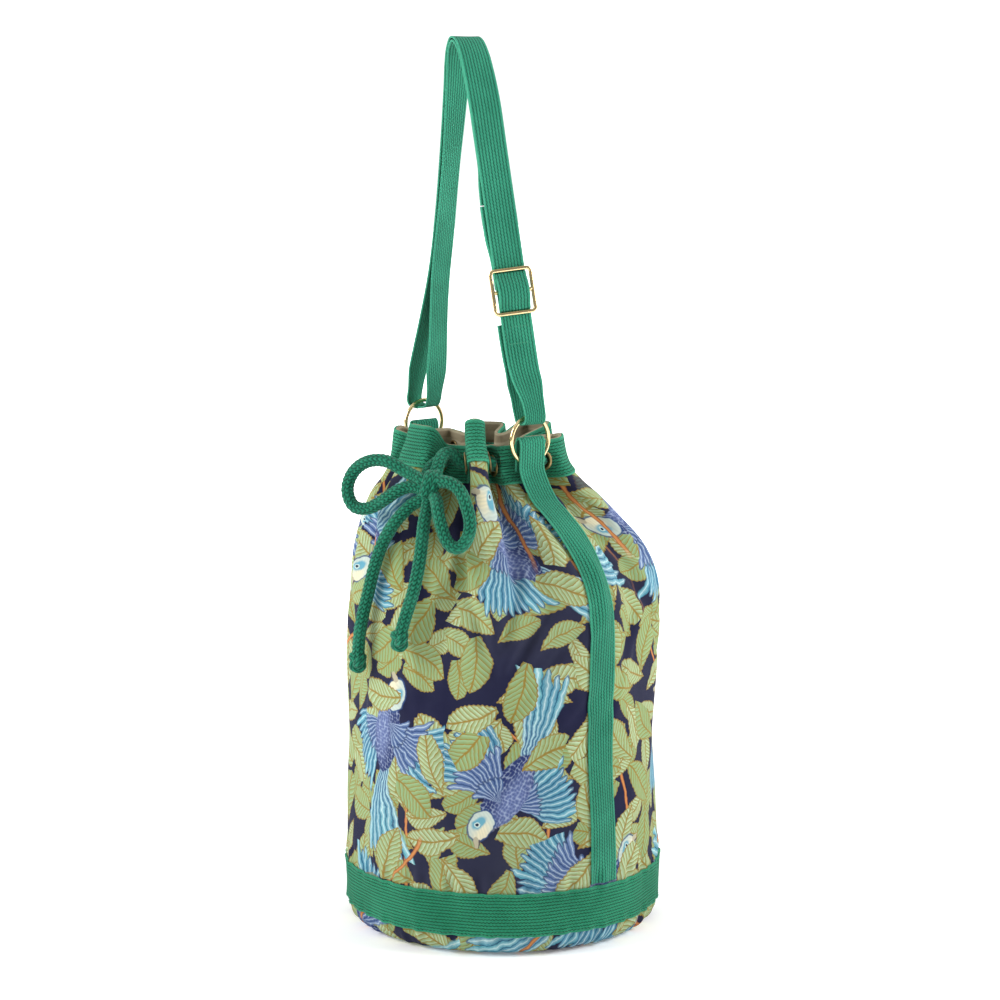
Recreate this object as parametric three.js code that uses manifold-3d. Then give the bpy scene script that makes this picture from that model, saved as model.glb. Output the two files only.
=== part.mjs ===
// Drawstring shoulder bag for picked fruit: a round printed cotton sack with webbing bands,
// a gathered mouth laced by a tied rope, and an adjustable two-ply webbing shoulder strap.
// Units are millimetres. +Z is up, the origin is the centre of the base, -Y is the tied side
// and the two strap rings stand on the line X.

import * as THREE from 'three';
import { mergeVertices } from 'three/addons/utils/BufferGeometryUtils.js';
import Module from 'manifold-3d';

const wasm = await Module();
wasm.setup();

// ---------------------------------------------------------------- driving dimensions

const GAP = 0.3; // between pieces that touch
const CLOTH = 1.2; // printed cotton with its lining
const WEBBING = 1.5;
const FACING = 0.8;
const WEBBING_WIDTH = 25;

const BASE_BAND_LOW = 16;
const BASE_BAND_HEIGHT = 35;
const BASE_FLAT_RADIUS = 110;
const PANEL_LOW = 15;
const RIM_HEIGHT = 395; // nominal height of the mouth's edge, along the cloth
const RIM_BAND_HEIGHT = 30;
const MOUTH = new THREE.Vector2(-15, -15); // the soft mouth leans this far from the base centre

const ROPE = 10;
const HELD_ROPE = 7.8; // the rope is pulled thin where it laces the mouth
const EYELET_BORE = 12.4;
const EYELET_FLANGE = 17.5;
const EYELET_BARREL_WALL = 0.7;
const EYELET_HEIGHT = 378;
const EYELET_LEVELLING = 0.35; // eyelets sit lower on a fold that stands up, by this share
const EYELET_FRONT = WEBBING + 4 * GAP; // from the cloth to under the flanges, outside and in
const EYELET_BACK = CLOTH + FACING + 3 * GAP;
const EYELET_RIM = 0.8; // thickness of the rim inside the mouth
const EYELET_CROWN = 1.1; // height of the rolled crown over the front flange
const EYELET_ROOM = 2.4; // the cloth is cut clear this far over each flange
const EYELET_REACH = 3.8; // the rope keeps to the eyelet's axis this far each side
const EYELET_SWING = 5; // and up to this much further where it turns sharply
const NEAR_ENDS = 5; // two turns of the rope closer than this are one turn

const RING_OUTSIDE = 40;
const RING_WIRE = 3.2;
const RING_HEIGHT = 394;

const SLIDER_WIDTH = 35;
const SLIDER_HEIGHT = 37;
const SLIDER_WIRE = 3;

const FOLDS = 8;
const FRONT_VALLEY_FLAT = 0.26; // wide valley where the rope ends come out
const FOLD_TURN = 1.5; // largest turn of the cloth's direction in a fold, radians

// Each fold's crest, from the right ring round the back: its flat as a share of one fold's
// cloth, how far it stands up, how far its edge leans in, and how far it stands out.
const CRESTS = [
  { flat: 0.42, lift: -6, lean: 0, reach: -5 },
  { flat: 0.26, lift: -4, lean: 3, reach: 9 },
  { flat: 0.3, lift: 2, lean: 2, reach: 6 },
  { flat: 0.26, lift: -2, lean: 4, reach: 5 },
  { flat: 0.42, lift: -6, lean: 0, reach: -5 },
  { flat: 0.26, lift: 1, lean: 5, reach: 6 },
  { flat: 0.28, lift: 8, lean: 14, reach: 8 },
  { flat: 0, lift: 17, lean: -2, reach: 5 },
];
const VALLEY_DROP = 8;
const TIED_VALLEY = FOLDS - 1; // the wide valley in front, where the rope is tied

// ---------------------------------------------------------------- small helpers

const lerp = THREE.MathUtils.lerp;
const smooth = THREE.MathUtils.smoothstep;

function point(x, y, z) {
  return new THREE.Vector3(x, y, z);
}

function points(list) {
  return list.map(([x, y, z]) => point(x, y, z));
}

function closed(geometry) {
  const bare = new THREE.BufferGeometry();
  bare.setAttribute('position', geometry.getAttribute('position').clone());
  if (geometry.index) bare.setIndex(geometry.index.clone());
  return mergeVertices(bare, 1e-4);
}

function toManifold(geometry) {
  return new wasm.Manifold(
    new wasm.Mesh({
      numProp: 3,
      vertProperties: new Float32Array(geometry.getAttribute('position').array),
      triVerts: new Uint32Array(geometry.index.array),
    }),
  );
}

function fromManifold(solid) {
  const mesh = solid.getMesh();
  const geometry = new THREE.BufferGeometry();
  geometry.setAttribute('position', new THREE.BufferAttribute(mesh.vertProperties, 3));
  geometry.setIndex(new THREE.BufferAttribute(mesh.triVerts, 1));
  return geometry;
}

function cut(geometry, cutters) {
  let solid = toManifold(closed(geometry));
  for (const cutter of cutters) solid = solid.subtract(toManifold(closed(cutter)));
  return fromManifold(solid);
}

// ---------------------------------------------------------------- the gathered sack

// The cloth goes round the sack in short steps of equal kind. On a fold's flank it turns by
// `turn` times the fold's strength away from the round; on a flat it keeps to the round.
const STEPS = 20;

function flank(sign) {
  const steps = [];
  for (let i = 0; i < STEPS; i += 1) {
    const phase = (Math.PI * (i + 0.5)) / STEPS;
    const turn = Math.sin(phase) * (1 + 0.5 * Math.cos(phase) ** 2);
    steps.push({ length: 0.5 / STEPS, turn: sign * turn });
  }
  return steps;
}

function flat(length) {
  return Array.from({ length: 4 }, () => ({ length: length / 4, turn: 0 }));
}

const valleyFlat = (fold) => (fold === TIED_VALLEY ? FRONT_VALLEY_FLAT : 0);

function walkOfCloth() {
  const walk = [];
  const add = (fold, steps) => steps.forEach((step) => walk.push({ ...step, fold }));
  for (let fold = 0; fold <= FOLDS; fold += 1) {
    const k = fold % FOLDS;
    if (fold > 0) {
      if (valleyFlat(k)) add(k, flat(valleyFlat(k)));
      add(k, flank(1));
    }
    const onStrip = fold % FOLDS === 0; // the walk starts and ends in the middle of a crest
    if (CRESTS[k].flat) add(k, flat(onStrip ? CRESTS[k].flat / 2 : CRESTS[k].flat));
    if (fold < FOLDS) add(k, flank(-1));
  }
  return walk;
}

const WALK = walkOfCloth();
const ROUND = WALK.reduce((sum, step) => sum + step.length, 0);
const BACK_END = WALK.findIndex((step) => step.fold === FOLDS / 2 && step.turn === 0) + 2;

// Cumulative place round the cloth at every step's start, as a share of the whole round.
const STARTS = [0];
for (const step of WALK) STARTS.push(STARTS.at(-1) + step.length / ROUND);
const LEFT_SEAM = STARTS[BACK_END];

// Corner places for the faceted shells: every fourth step, so 10 to a fold.
const CORNERS = STARTS.filter((_, i) => i % 4 === 0 || i === BACK_END);

function foldStart(fold) {
  return STARTS[WALK.findIndex((step) => step.fold === fold && step.turn > 0)];
}

const walks = new Map();

// Where the cloth lies at one strength of folding: its angle round the sack, and its depth,
// from 0 in a valley to 1 on a crest.
function gathered(strength) {
  const key = strength.toFixed(5);
  if (walks.has(key)) return walks.get(key);
  const along = [0];
  const rise = [0];
  for (const step of WALK) {
    const turn = strength * step.turn;
    along.push(along.at(-1) + step.length * Math.cos(turn));
    rise.push(rise.at(-1) + step.length * Math.sin(turn));
  }
  const low = Math.min(...rise);
  const high = Math.max(...rise);
  const back = along[BACK_END];
  const front = along.at(-1) - back;
  const angle = along.map((x, i) =>
    i <= BACK_END ? (Math.PI * x) / back : Math.PI * (1 + (x - back) / front),
  );
  const depth = rise.map((y) => (high - low > 1e-9 ? (y - low) / (high - low) : 1));
  const sweep = (Math.PI * (high - low)) / along.at(-1);
  const result = { angle, depth, sweep };
  walks.set(key, result);
  return result;
}

// Outline of the sack seen from the side: radius of the crests at each height.
const OUTLINE = new THREE.CatmullRomCurve3(
  points([
    [124.2, 0, 15],
    [125.6, 0, 52],
    [124.5, 0, 95],
    [121.6, 0, 160],
    [121.4, 0, 225],
    [119.5, 0, 268],
    [112.5, 0, 297],
    [102, 0, 321],
    [88, 0, 343],
    [74, 0, 358],
    [65, 0, 372],
    [62, 0, 395],
  ]),
);
const OUTLINE_POINTS = OUTLINE.getPoints(220);

function outlineRadius(height) {
  const above = OUTLINE_POINTS.findIndex((p) => p.z >= height);
  if (above <= 0) return above === 0 ? OUTLINE_POINTS[0].x : OUTLINE_POINTS.at(-1).x;
  const a = OUTLINE_POINTS[above - 1];
  const b = OUTLINE_POINTS[above];
  return lerp(a.x, b.x, (height - a.z) / (b.z - a.z));
}

function rawCloth(place, height) {
  const round = ((place % 1) + 1) % 1;
  const strength = FOLD_TURN * smooth(height, 258, 372);
  const { angle, depth, sweep } = gathered(strength);
  let i = STARTS.findIndex((start) => start > round) - 1;
  if (i < 0) i = WALK.length - 1;
  const t = (round - STARTS[i]) / (STARTS[i + 1] - STARTS[i]);
  const around = lerp(angle[i], angle[i + 1], t);
  const crest = lerp(depth[i], depth[i + 1], t);
  const { lift, lean, reach } = CRESTS[WALK[i].fold];
  const outline = outlineRadius(height);
  const mean = outline / (1 + sweep);
  const gather = smooth(height, 285, 385);
  const edge = smooth(height, 340, RIM_HEIGHT + 10);
  const full = crest * crest * (3 - 2 * crest);
  const radius = lerp(2 * mean - outline, outline, crest) + full * (reach * gather - lean * edge);
  const z = height + gather * (full * lift - (1 - crest) * VALLEY_DROP);
  const shift = smooth(height, 262, RIM_HEIGHT);
  return point(
    radius * Math.cos(around) + MOUTH.x * shift,
    radius * Math.sin(around) + MOUTH.y * shift,
    z,
  );
}

function outwards(place, height) {
  const step = 4e-4;
  const round = rawCloth(place + step, height).sub(rawCloth(place - step, height));
  const up = rawCloth(place, height + 0.5).sub(rawCloth(place, height - 0.5));
  return round.cross(up).normalize();
}

// The eyelets sit on the flanks beside the laced valleys, where the cloth is pressed flat.
const FLANK_PLACE = 0.25 / ROUND;

function eyeletSeat(valley, side) {
  const start = foldStart(valley);
  const place = side > 0 ? start + FLANK_PLACE : start - valleyFlat(valley) / ROUND - FLANK_PLACE;
  const crest = CRESTS[side > 0 ? valley : (valley + FOLDS - 1) % FOLDS];
  const height = EYELET_HEIGHT - EYELET_LEVELLING * crest.lift;
  return {
    centre: rawCloth(place, height),
    normal: outwards(place, height),
    inwards: side > 0,
  };
}

// In lacing order, from the right of the tied valley round the back to its left.
const SEATS = [eyeletSeat(TIED_VALLEY, 1)];
for (let valley = 0; valley < TIED_VALLEY; valley += 1) {
  SEATS.push(eyeletSeat(valley, -1), eyeletSeat(valley, 1));
}
SEATS.push(eyeletSeat(TIED_VALLEY, -1));

// A point of the cloth, or of a layer that lies `layer` outside it, pressed flat at the eyelets.
function cloth(place, height, layer) {
  const normal = outwards(place, height);
  const base = rawCloth(place, height);
  const p = base.clone().addScaledVector(normal, layer);
  for (const seat of SEATS) {
    const from = base.clone().sub(seat.centre);
    if (from.length() > EYELET_FLANGE || normal.dot(seat.normal) < 0.1) continue;
    const off = from.dot(seat.normal);
    const across = Math.sqrt(Math.max(from.lengthSq() - off * off, 0));
    const press = 1 - smooth(across, EYELET_FLANGE * 0.64, EYELET_FLANGE * 0.98);
    const now = p.clone().sub(seat.centre).dot(seat.normal);
    p.addScaledVector(seat.normal, (layer - now) * press);
  }
  return p;
}

// A shell of the cloth between two places round the sack.
function sheetBetween(from, to, heights, inner, outer) {
  const corners = [from, ...CORNERS.filter((c) => c > from + 2e-3 && c < to - 2e-3), to];
  const across = corners.length - 1;
  const up = heights.length - 1;
  const geometry = new THREE.BoxGeometry(across, up, 1, across, up, 1);
  const position = geometry.getAttribute('position');
  for (let i = 0; i < position.count; i += 1) {
    const place = corners[Math.round(position.getX(i) + across / 2)];
    const height = heights[Math.round(position.getY(i) + up / 2)];
    const layer = position.getZ(i) > 0 ? outer : inner;
    const p = cloth(place, height, layer);
    position.setXYZ(i, p.x, p.y, p.z);
  }
  return geometry;
}

// A shell of the cloth all the way round: a lathe of its layers, laid on the gathered walk.
function sheetRound(heights, inner, outer) {
  const profile = [
    ...heights.map((height) => new THREE.Vector2(outer, height)),
    ...heights.toReversed().map((height) => new THREE.Vector2(inner, height)),
    new THREE.Vector2(outer, heights[0]),
  ];
  const corners = CORNERS.slice(0, -1);
  const geometry = new THREE.LatheGeometry(profile, corners.length);
  const position = geometry.getAttribute('position');
  for (let i = 0; i < position.count; i += 1) {
    const corner = Math.floor(i / profile.length) % corners.length;
    const { x: layer, y: height } = profile[i % profile.length];
    const p = cloth(corners[corner], height, layer);
    position.setXYZ(i, p.x, p.y, p.z);
  }
  return geometry;
}

const RIM_BAND_LOW = RIM_HEIGHT - RIM_BAND_HEIGHT;
const PANEL_HEIGHTS = [PANEL_LOW, 52, 150, 250, 284, 308, 330, 350];
const RIM_HEIGHTS = [RIM_BAND_LOW, EYELET_HEIGHT, RIM_HEIGHT];
const SEAM = GAP / 2 / 785; // half the gap between the panels, as a share of the round

// The room each eyelet takes in the cloth: its barrel, and its two flanges where folds crowd it.
function eyeletHoles() {
  return SEATS.map((seat) => {
    const bore = EYELET_BORE / 2 + EYELET_BARREL_WALL + 2 * GAP;
    const flange = EYELET_FLANGE / 2 + 2 * GAP;
    const front = EYELET_FRONT - GAP;
    const back = -EYELET_BACK + GAP;
    const profile = [
      [0, back - EYELET_ROOM], [flange, back - EYELET_ROOM], [flange, back], [bore, back],
      [bore, front], [flange, front], [flange, front + EYELET_ROOM], [0, front + EYELET_ROOM],
    ].map(([x, y]) => new THREE.Vector2(x, y));
    return placeOnSeat(new THREE.LatheGeometry(profile, 12).rotateX(Math.PI / 2), seat);
  });
}

function placeOnSeat(geometry, seat) {
  const across = new THREE.Vector3(0, 0, 1).cross(seat.normal).normalize();
  const upward = seat.normal.clone().cross(across);
  const frame = new THREE.Matrix4().makeBasis(across, upward, seat.normal);
  return geometry.applyMatrix4(frame.setPosition(seat.centre));
}

function panel(from, to) {
  const heights = [...PANEL_HEIGHTS, ...RIM_HEIGHTS];
  return cut(sheetBetween(from + SEAM, to - SEAM, heights, -CLOTH, 0), eyeletHoles());
}

function basePanel() {
  const wall = CLOTH + 0.4;
  const outside = outlineRadius(PANEL_LOW);
  const top = PANEL_LOW - GAP;
  const profile = [new THREE.Vector2(0, 0), new THREE.Vector2(BASE_FLAT_RADIUS, 0)];
  const arc = 4;
  for (let i = 1; i <= arc; i += 1) {
    const turn = (Math.PI / 2) * (i / arc);
    const x = BASE_FLAT_RADIUS + (outside - BASE_FLAT_RADIUS) * Math.sin(turn);
    profile.push(new THREE.Vector2(x, top * (1 - Math.cos(turn))));
  }
  for (let i = arc; i >= 0; i -= 1) {
    const turn = (Math.PI / 2) * (i / arc);
    const x = BASE_FLAT_RADIUS - 1 + (outside - wall - BASE_FLAT_RADIUS + 1) * Math.sin(turn);
    profile.push(new THREE.Vector2(x, i === arc ? top : wall + (top - wall) * (1 - Math.cos(turn))));
  }
  profile.push(new THREE.Vector2(0, wall));
  const geometry = new THREE.LatheGeometry(profile, 36);
  return geometry.rotateX(Math.PI / 2);
}

function baseBand() {
  const low = outlineRadius(BASE_BAND_LOW) + GAP;
  const high = outlineRadius(BASE_BAND_LOW + BASE_BAND_HEIGHT) + GAP;
  const profile = [
    [high, BASE_BAND_HEIGHT],
    [low, 0],
    [low + WEBBING, 0],
    [high + WEBBING, BASE_BAND_HEIGHT],
    [high, BASE_BAND_HEIGHT],
  ].map(([x, y]) => new THREE.Vector2(x, y + BASE_BAND_LOW));
  return new THREE.LatheGeometry(profile, 64).rotateX(Math.PI / 2);
}

// ---------------------------------------------------------------- side strips and rings

// A webbing ribbon along a curve. `across` gives its width direction; `layer` is how far its
// near face lies off the curve, on the side of across x along.
function ribbon(curve, steps, across, layer = 0, width = WEBBING_WIDTH, thick = WEBBING) {
  const geometry = new THREE.BoxGeometry(1, steps, 1, 1, steps, 1);
  const position = geometry.getAttribute('position');
  for (let i = 0; i < position.count; i += 1) {
    const t = Math.round(position.getY(i) + steps / 2) / steps;
    const along = curve.getTangentAt(t);
    const side = across(t).clone();
    side.addScaledVector(along, -side.dot(along)).normalize();
    const face = side.clone().cross(along);
    const p = curve.getPointAt(t);
    p.addScaledVector(side, position.getX(i) * width);
    p.addScaledVector(face, layer + (position.getZ(i) + 0.5) * thick);
    position.setXYZ(i, p.x, p.y, p.z);
  }
  return geometry;
}

const SIDES = {
  right: { place: 0, out: 1 },
  left: { place: LEFT_SEAM, out: -1 },
};
const STRIP_OFF_CLOTH = 1.2;
const RING_OFF_CLOTH = 6.2; // from the cloth of the crest to the middle of the ring's wire

function ringCentre(side) {
  const x = MOUTH.x + side.out * (outlineRadius(RIM_HEIGHT) + RING_OFF_CLOTH);
  return point(x, MOUTH.y, RING_HEIGHT);
}

// The strip climbs the seam, stands off over the rim band, folds over inside the ring and
// comes down again behind it to its sewn end.
function stripCurve(side) {
  const centre = ringCentre(side);
  const list = [];
  for (const height of [53, 120, 190, 245, 275, 300, 322, 340, 352]) {
    list.push(cloth(side.place, height, STRIP_OFF_CLOTH));
  }
  const outer = centre.clone().addScaledVector(point(side.out, 0, 0), RING_WIRE / 2 + GAP + 0.2);
  const inner = centre.clone().addScaledVector(point(-side.out, 0, 0), RING_WIRE / 2 + GAP + 0.2);
  list.push(point(outer.x, outer.y, RING_HEIGHT - 24));
  list.push(point(outer.x, outer.y, RING_HEIGHT - 13));
  list.push(point(outer.x, outer.y, RING_HEIGHT - 1));
  list.push(point(centre.x, centre.y, RING_HEIGHT + 1.6));
  list.push(point(inner.x, inner.y, RING_HEIGHT - 1));
  list.push(point(inner.x, inner.y, RING_HEIGHT - 13));
  list.push(point(inner.x, inner.y, RING_HEIGHT - 24));
  return new THREE.CatmullRomCurve3(list, false, 'centripetal');
}

function sideStrip(side) {
  const across = point(0, side.out, 0);
  return ribbon(stripCurve(side), 44, () => across, 0);
}

function ring() {
  const radius = (RING_OUTSIDE - RING_WIRE) / 2;
  const geometry = new THREE.TorusGeometry(radius, RING_WIRE / 2, 6, 28);
  return geometry.rotateY(Math.PI / 2);
}

// ---------------------------------------------------------------- eyelets

// An eyelet clinched through the band, the cloth and the facing, with its washer.
function eyelet() {
  const bore = EYELET_BORE / 2;
  const barrel = bore + EYELET_BARREL_WALL;
  const flange = EYELET_FLANGE / 2;
  const front = EYELET_FRONT;
  const back = -EYELET_BACK;
  const profile = [
    [bore, back - EYELET_RIM],
    [flange - EYELET_RIM, back - EYELET_RIM],
    [flange - EYELET_RIM, back],
    [barrel, back],
    [barrel, front],
    [flange, front],
    [bore + 1.2, front + EYELET_CROWN],
    [bore, front + 0.5],
    [bore, back - EYELET_RIM],
  ].map(([x, y]) => new THREE.Vector2(x, y));
  return new THREE.LatheGeometry(profile, 12).rotateX(Math.PI / 2);
}

// The metal of each eyelet and a hair round it: what pinches the rope where it turns hard.
function eyeletPinches() {
  const bore = EYELET_BORE / 2 - GAP;
  const flange = EYELET_FLANGE / 2 + GAP;
  const front = EYELET_FRONT + EYELET_CROWN + GAP;
  const back = -EYELET_BACK - EYELET_RIM - GAP;
  const profile = [[bore, back], [flange, back], [flange, front], [bore, front], [bore, back]]
    .map(([x, y]) => new THREE.Vector2(x, y));
  return SEATS.map((seat) => {
    return placeOnSeat(new THREE.LatheGeometry(profile, 12).rotateX(Math.PI / 2), seat);
  });
}

// ---------------------------------------------------------------- drawstring

function rope(curve, steps, diameter = ROPE) {
  const section = new THREE.Shape();
  const sides = 8;
  for (let i = 0; i < sides; i += 1) {
    const turn = (2 * Math.PI * (i + 0.5)) / sides;
    const x = (diameter / 2) * Math.cos(turn);
    const y = (diameter / 2) * Math.sin(turn);
    if (i === 0) section.moveTo(x, y);
    else section.lineTo(x, y);
  }
  return new THREE.ExtrudeGeometry(section, { steps, bevelEnabled: false, extrudePath: curve });
}

// The held run: through every eyelet in turn, from inside the fold on the right of the tied
// valley to inside the fold on its left. Between two eyelets it clears each flange, and goes
// further out the sharper it then turns.
function runCurve() {
  const list = [SEATS[0].centre];
  for (let i = 1; i < SEATS.length; i += 1) {
    const [a, b] = [SEATS[i - 1], SEATS[i]];
    const leaving = a.normal.clone().multiplyScalar(a.inwards ? -1 : 1);
    const outOf = b.normal.clone().multiplyScalar(b.inwards ? 1 : -1);
    const way = b.centre.clone().sub(a.centre).normalize();
    const reach = (along) => EYELET_REACH + EYELET_SWING * (1 - Math.abs(along.dot(way)));
    const ends = [
      a.centre.clone().addScaledVector(leaving, reach(leaving)),
      b.centre.clone().addScaledVector(outOf, reach(outOf)),
    ];
    if (ends[0].distanceTo(ends[1]) > NEAR_ENDS) list.push(...ends);
    else list.push(ends[0].lerp(ends[1], 0.5));
  }
  list.push(SEATS.at(-1).centre);
  return new THREE.CatmullRomCurve3(list, false, 'centripetal');
}

// The free ends: out of the eyelets of the wide valley, into the knot, round one loop each and
// down the tied side to a knotted end.
const KNOT = point(28, -93, 361);
const KNOT_RADIUS = 11.5;
const END_KNOT = 16;

const FREE_ROUTES = {
  left: {
    exit: [[10, -69, 378], [11, -78, 375], [16, -88, 368]],
    loop: [
      [16, -99, 369], [7, -105, 374], [-5, -112, 380], [-20, -119, 378], [-32, -124, 368],
      [-36, -126, 354], [-30, -124, 342], [-17, -119, 342], [-2, -113, 351], [7, -108, 358],
      [15, -102, 361],
    ],
    tail: [
      [20, -103, 349], [15, -109, 342], [9, -115, 332], [2, -120, 317], [-4, -124, 297],
      [-8, -127, 277], [-12, -130, 257], [-15, -131, 240], [-16, -131, 230],
    ],
    knot: [-17, -131, 221],
  },
  right: {
    exit: [[18, -66, 385], [19, -75, 383], [24, -83, 375]],
    loop: [
      [41, -92, 367], [48, -90, 367], [58, -88, 362], [66, -88, 351], [71, -88, 338],
      [72, -92, 326], [68, -98, 319], [61, -102, 323], [55, -103, 334], [49, -102, 345],
      [42, -98, 353],
    ],
    tail: [
      [33, -100, 347], [38, -107, 337], [42, -112, 324], [44, -117, 304], [42, -121, 284],
      [39, -125, 268], [37, -128, 256],
    ],
    knot: [35, -129, 246],
  },
};

function sphere(radius, stretch) {
  return new THREE.SphereGeometry(radius, 12, 8).scale(...stretch);
}

function freeRope(seat, list, steps) {
  const start = seat ? [seat.centre.clone().addScaledVector(seat.normal, 6)] : [];
  const curve = new THREE.CatmullRomCurve3([...start, ...points(list)], false, 'centripetal');
  return rope(curve, steps);
}

// ---------------------------------------------------------------- shoulder strap

const RIGHT_RING = ringCentre(SIDES.right);
const LEFT_RING = ringCentre(SIDES.left);
const RING_RADIUS = (RING_OUTSIDE - RING_WIRE) / 2;
const TWIST_RIGHT = -0.45; // the strap's faces turn this far about Z, radians
const TWIST_LEFT = 0.3;
const TWIST_RING = 0.25;
const PLY_OFFSET = 1.3; // from the middle of the strap to the middle of a ply
const LOOP_HALF = 9.9; // half the width of the strap's loop where it holds a ring
const LOOP_DROP = 5.5; // the loop's lowest ply, below the middle of the ring's top wire
const LOOP_WIDTH = 18; // the webbing gathers where it lies in a ring
const STRAIGHT_TOP = point(5, -21, 650);

// Middle line of the strap, up the straight right leg, over the top and down the left leg.
const LEG_START = RIGHT_RING.clone().add(point(0, 0, RING_RADIUS));
const LEG_END = LEFT_RING.clone().add(point(0, 0, RING_RADIUS));
const ARCH = new THREE.CatmullRomCurve3(
  [
    STRAIGHT_TOP.clone().lerp(LEG_START, 0.08),
    STRAIGHT_TOP,
    ...points([
      [-3, -22, 679],
      [-14, -20, 697],
      [-30, -14, 702],
      [-43, -9, 691],
      [-50, -7, 664],
      [-54, -8, 625],
      [-63, -11, 540],
      [-74, -14, 465],
    ]),
    LEG_END,
  ],
  false,
  'centripetal',
);
const LEG_LENGTH = LEG_START.distanceTo(STRAIGHT_TOP.clone().lerp(LEG_START, 0.08));
const ARCH_LENGTH = ARCH.getLength();
const STRAP_LENGTH = LEG_LENGTH + ARCH_LENGTH;
const LEG_UP = STRAIGHT_TOP.clone().sub(LEG_START).normalize();

function strapMiddle(distance) {
  if (distance < LEG_LENGTH) return LEG_START.clone().addScaledVector(LEG_UP, distance);
  return ARCH.getPointAt(Math.min((distance - LEG_LENGTH) / ARCH_LENGTH, 1));
}

function strapTwist(distance) {
  const fromEnd = Math.min(distance, STRAP_LENGTH - distance);
  const leg = lerp(TWIST_RIGHT, TWIST_LEFT, smooth(distance, LEG_LENGTH, LEG_LENGTH + 200));
  const atRing = distance < STRAP_LENGTH / 2 ? -TWIST_RING : TWIST_RING;
  return lerp(atRing, leg, smooth(fromEnd, 10, 60));
}

function strapSide(distance) {
  const twist = strapTwist(distance);
  return point(-Math.sin(twist), Math.cos(twist), 0);
}

function strapFace(distance) {
  const along = strapMiddle(distance + 1).sub(strapMiddle(distance - 1)).normalize();
  const side = strapSide(distance);
  side.addScaledVector(along, -side.dot(along)).normalize();
  return side.cross(along);
}

function plyOffset(distance) {
  const fromEnd = Math.min(distance, STRAP_LENGTH - distance);
  const long = distance < STRAP_LENGTH / 2 ? 45 : 120;
  return lerp(LOOP_HALF, PLY_OFFSET, smooth(fromEnd, 6, long));
}

function plyPoints(from, to, face) {
  const list = [];
  const count = Math.max(Math.round(Math.abs(to - from) / 14), 2);
  for (let i = 0; i <= count; i += 1) {
    const distance = lerp(from, to, i / count);
    const p = strapMiddle(distance);
    list.push(p.addScaledVector(strapFace(distance), face * plyOffset(distance)));
  }
  return list;
}

// Half of the turn under a ring's top wire, from the ply on one face to the lowest point.
function halfTurn(end, distance, face) {
  const out = strapFace(distance).setZ(0).normalize();
  const down = (sideways, drop) =>
    end.clone().addScaledVector(out, face * sideways).add(point(0, 0, -drop));
  return [down(LOOP_HALF, 0), down(LOOP_HALF - 2, LOOP_DROP - 1.6), down(0, LOOP_DROP)];
}

function webbingWidth(p) {
  const nearest = Math.min(p.distanceTo(LEG_START), p.distanceTo(LEG_END));
  return lerp(LOOP_WIDTH, WEBBING_WIDTH, smooth(nearest, 9, 30));
}

// A strap ply: a ribbon whose width direction follows the strap's twist where it lies.
function ply(list, distances, steps) {
  const curve = new THREE.CatmullRomCurve3(list, false, 'centripetal');
  const total = distances.length - 1;
  const lengths = curve.getLengths(total * 8);
  const sideAt = (t) => {
    const place = t * lengths.at(-1);
    const at = lengths.findIndex((length) => length >= place) / 8;
    const i = Math.min(Math.floor(Math.max(at, 0)), total - 1);
    return strapSide(lerp(distances[i], distances[i + 1], Math.max(at, 0) - i));
  };
  const geometry = new THREE.BoxGeometry(1, steps, 1, 1, steps, 1);
  const position = geometry.getAttribute('position');
  for (let i = 0; i < position.count; i += 1) {
    const t = Math.round(position.getY(i) + steps / 2) / steps;
    const along = curve.getTangentAt(t);
    const p = curve.getPointAt(t);
    const side = sideAt(t);
    side.addScaledVector(along, -side.dot(along)).normalize();
    const face = side.clone().cross(along);
    const width = webbingWidth(p);
    p.addScaledVector(side, position.getX(i) * width);
    p.addScaledVector(face, position.getZ(i) * WEBBING);
    position.setXYZ(i, p.x, p.y, p.z);
  }
  return geometry;
}

const STITCHED_END = 73; // distances along the strap's middle line from the right ring
const SLIDER_AT = 98;
const SEWN_TAIL_TOP = 166;
const SLACK_TOP = 238;

function spread(count, from, to) {
  return Array.from({ length: count }, (_, i) => lerp(from, to, i / (count - 1)));
}

// From its stitched end, down to the right ring, up over the top and down to the left ring.
function outerPly() {
  const first = plyPoints(STITCHED_END, 8, -1);
  const turn = halfTurn(LEG_START, 1.5, -1);
  const back = halfTurn(LEG_START, 1.5, 1).slice(0, 2).reverse();
  const over = plyPoints(8, STRAP_LENGTH - 8, 1);
  const end = halfTurn(LEG_END, STRAP_LENGTH - 1.5, 1);
  const distances = [
    ...spread(first.length, STITCHED_END, 8),
    ...turn.map(() => 1.5),
    ...back.map(() => 1.5),
    ...spread(over.length, 8, STRAP_LENGTH - 8),
    ...end.map(() => STRAP_LENGTH - 1.5),
  ];
  return ply([...first, ...turn, ...back, ...over, ...end], distances, 104);
}

// From the left ring, up inside the arch and down to where the slack begins.
function innerPly() {
  const start = halfTurn(LEG_END, STRAP_LENGTH - 1.5, -1).reverse();
  start[0].addScaledVector(start[1].clone().sub(start[0]).normalize(), 2 * GAP);
  const over = plyPoints(STRAP_LENGTH - 8, SLACK_TOP + 2 * GAP, -1);
  const distances = [
    ...start.map(() => STRAP_LENGTH - 1.5),
    ...spread(over.length, STRAP_LENGTH - 8, SLACK_TOP + 2 * GAP),
  ];
  return ply([...start, ...over], distances, 76);
}

function slackPly() {
  const list = plyPoints(SLACK_TOP, SEWN_TAIL_TOP + GAP, -1);
  return ply(list, spread(list.length, SLACK_TOP, SEWN_TAIL_TOP + GAP), 6);
}

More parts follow.
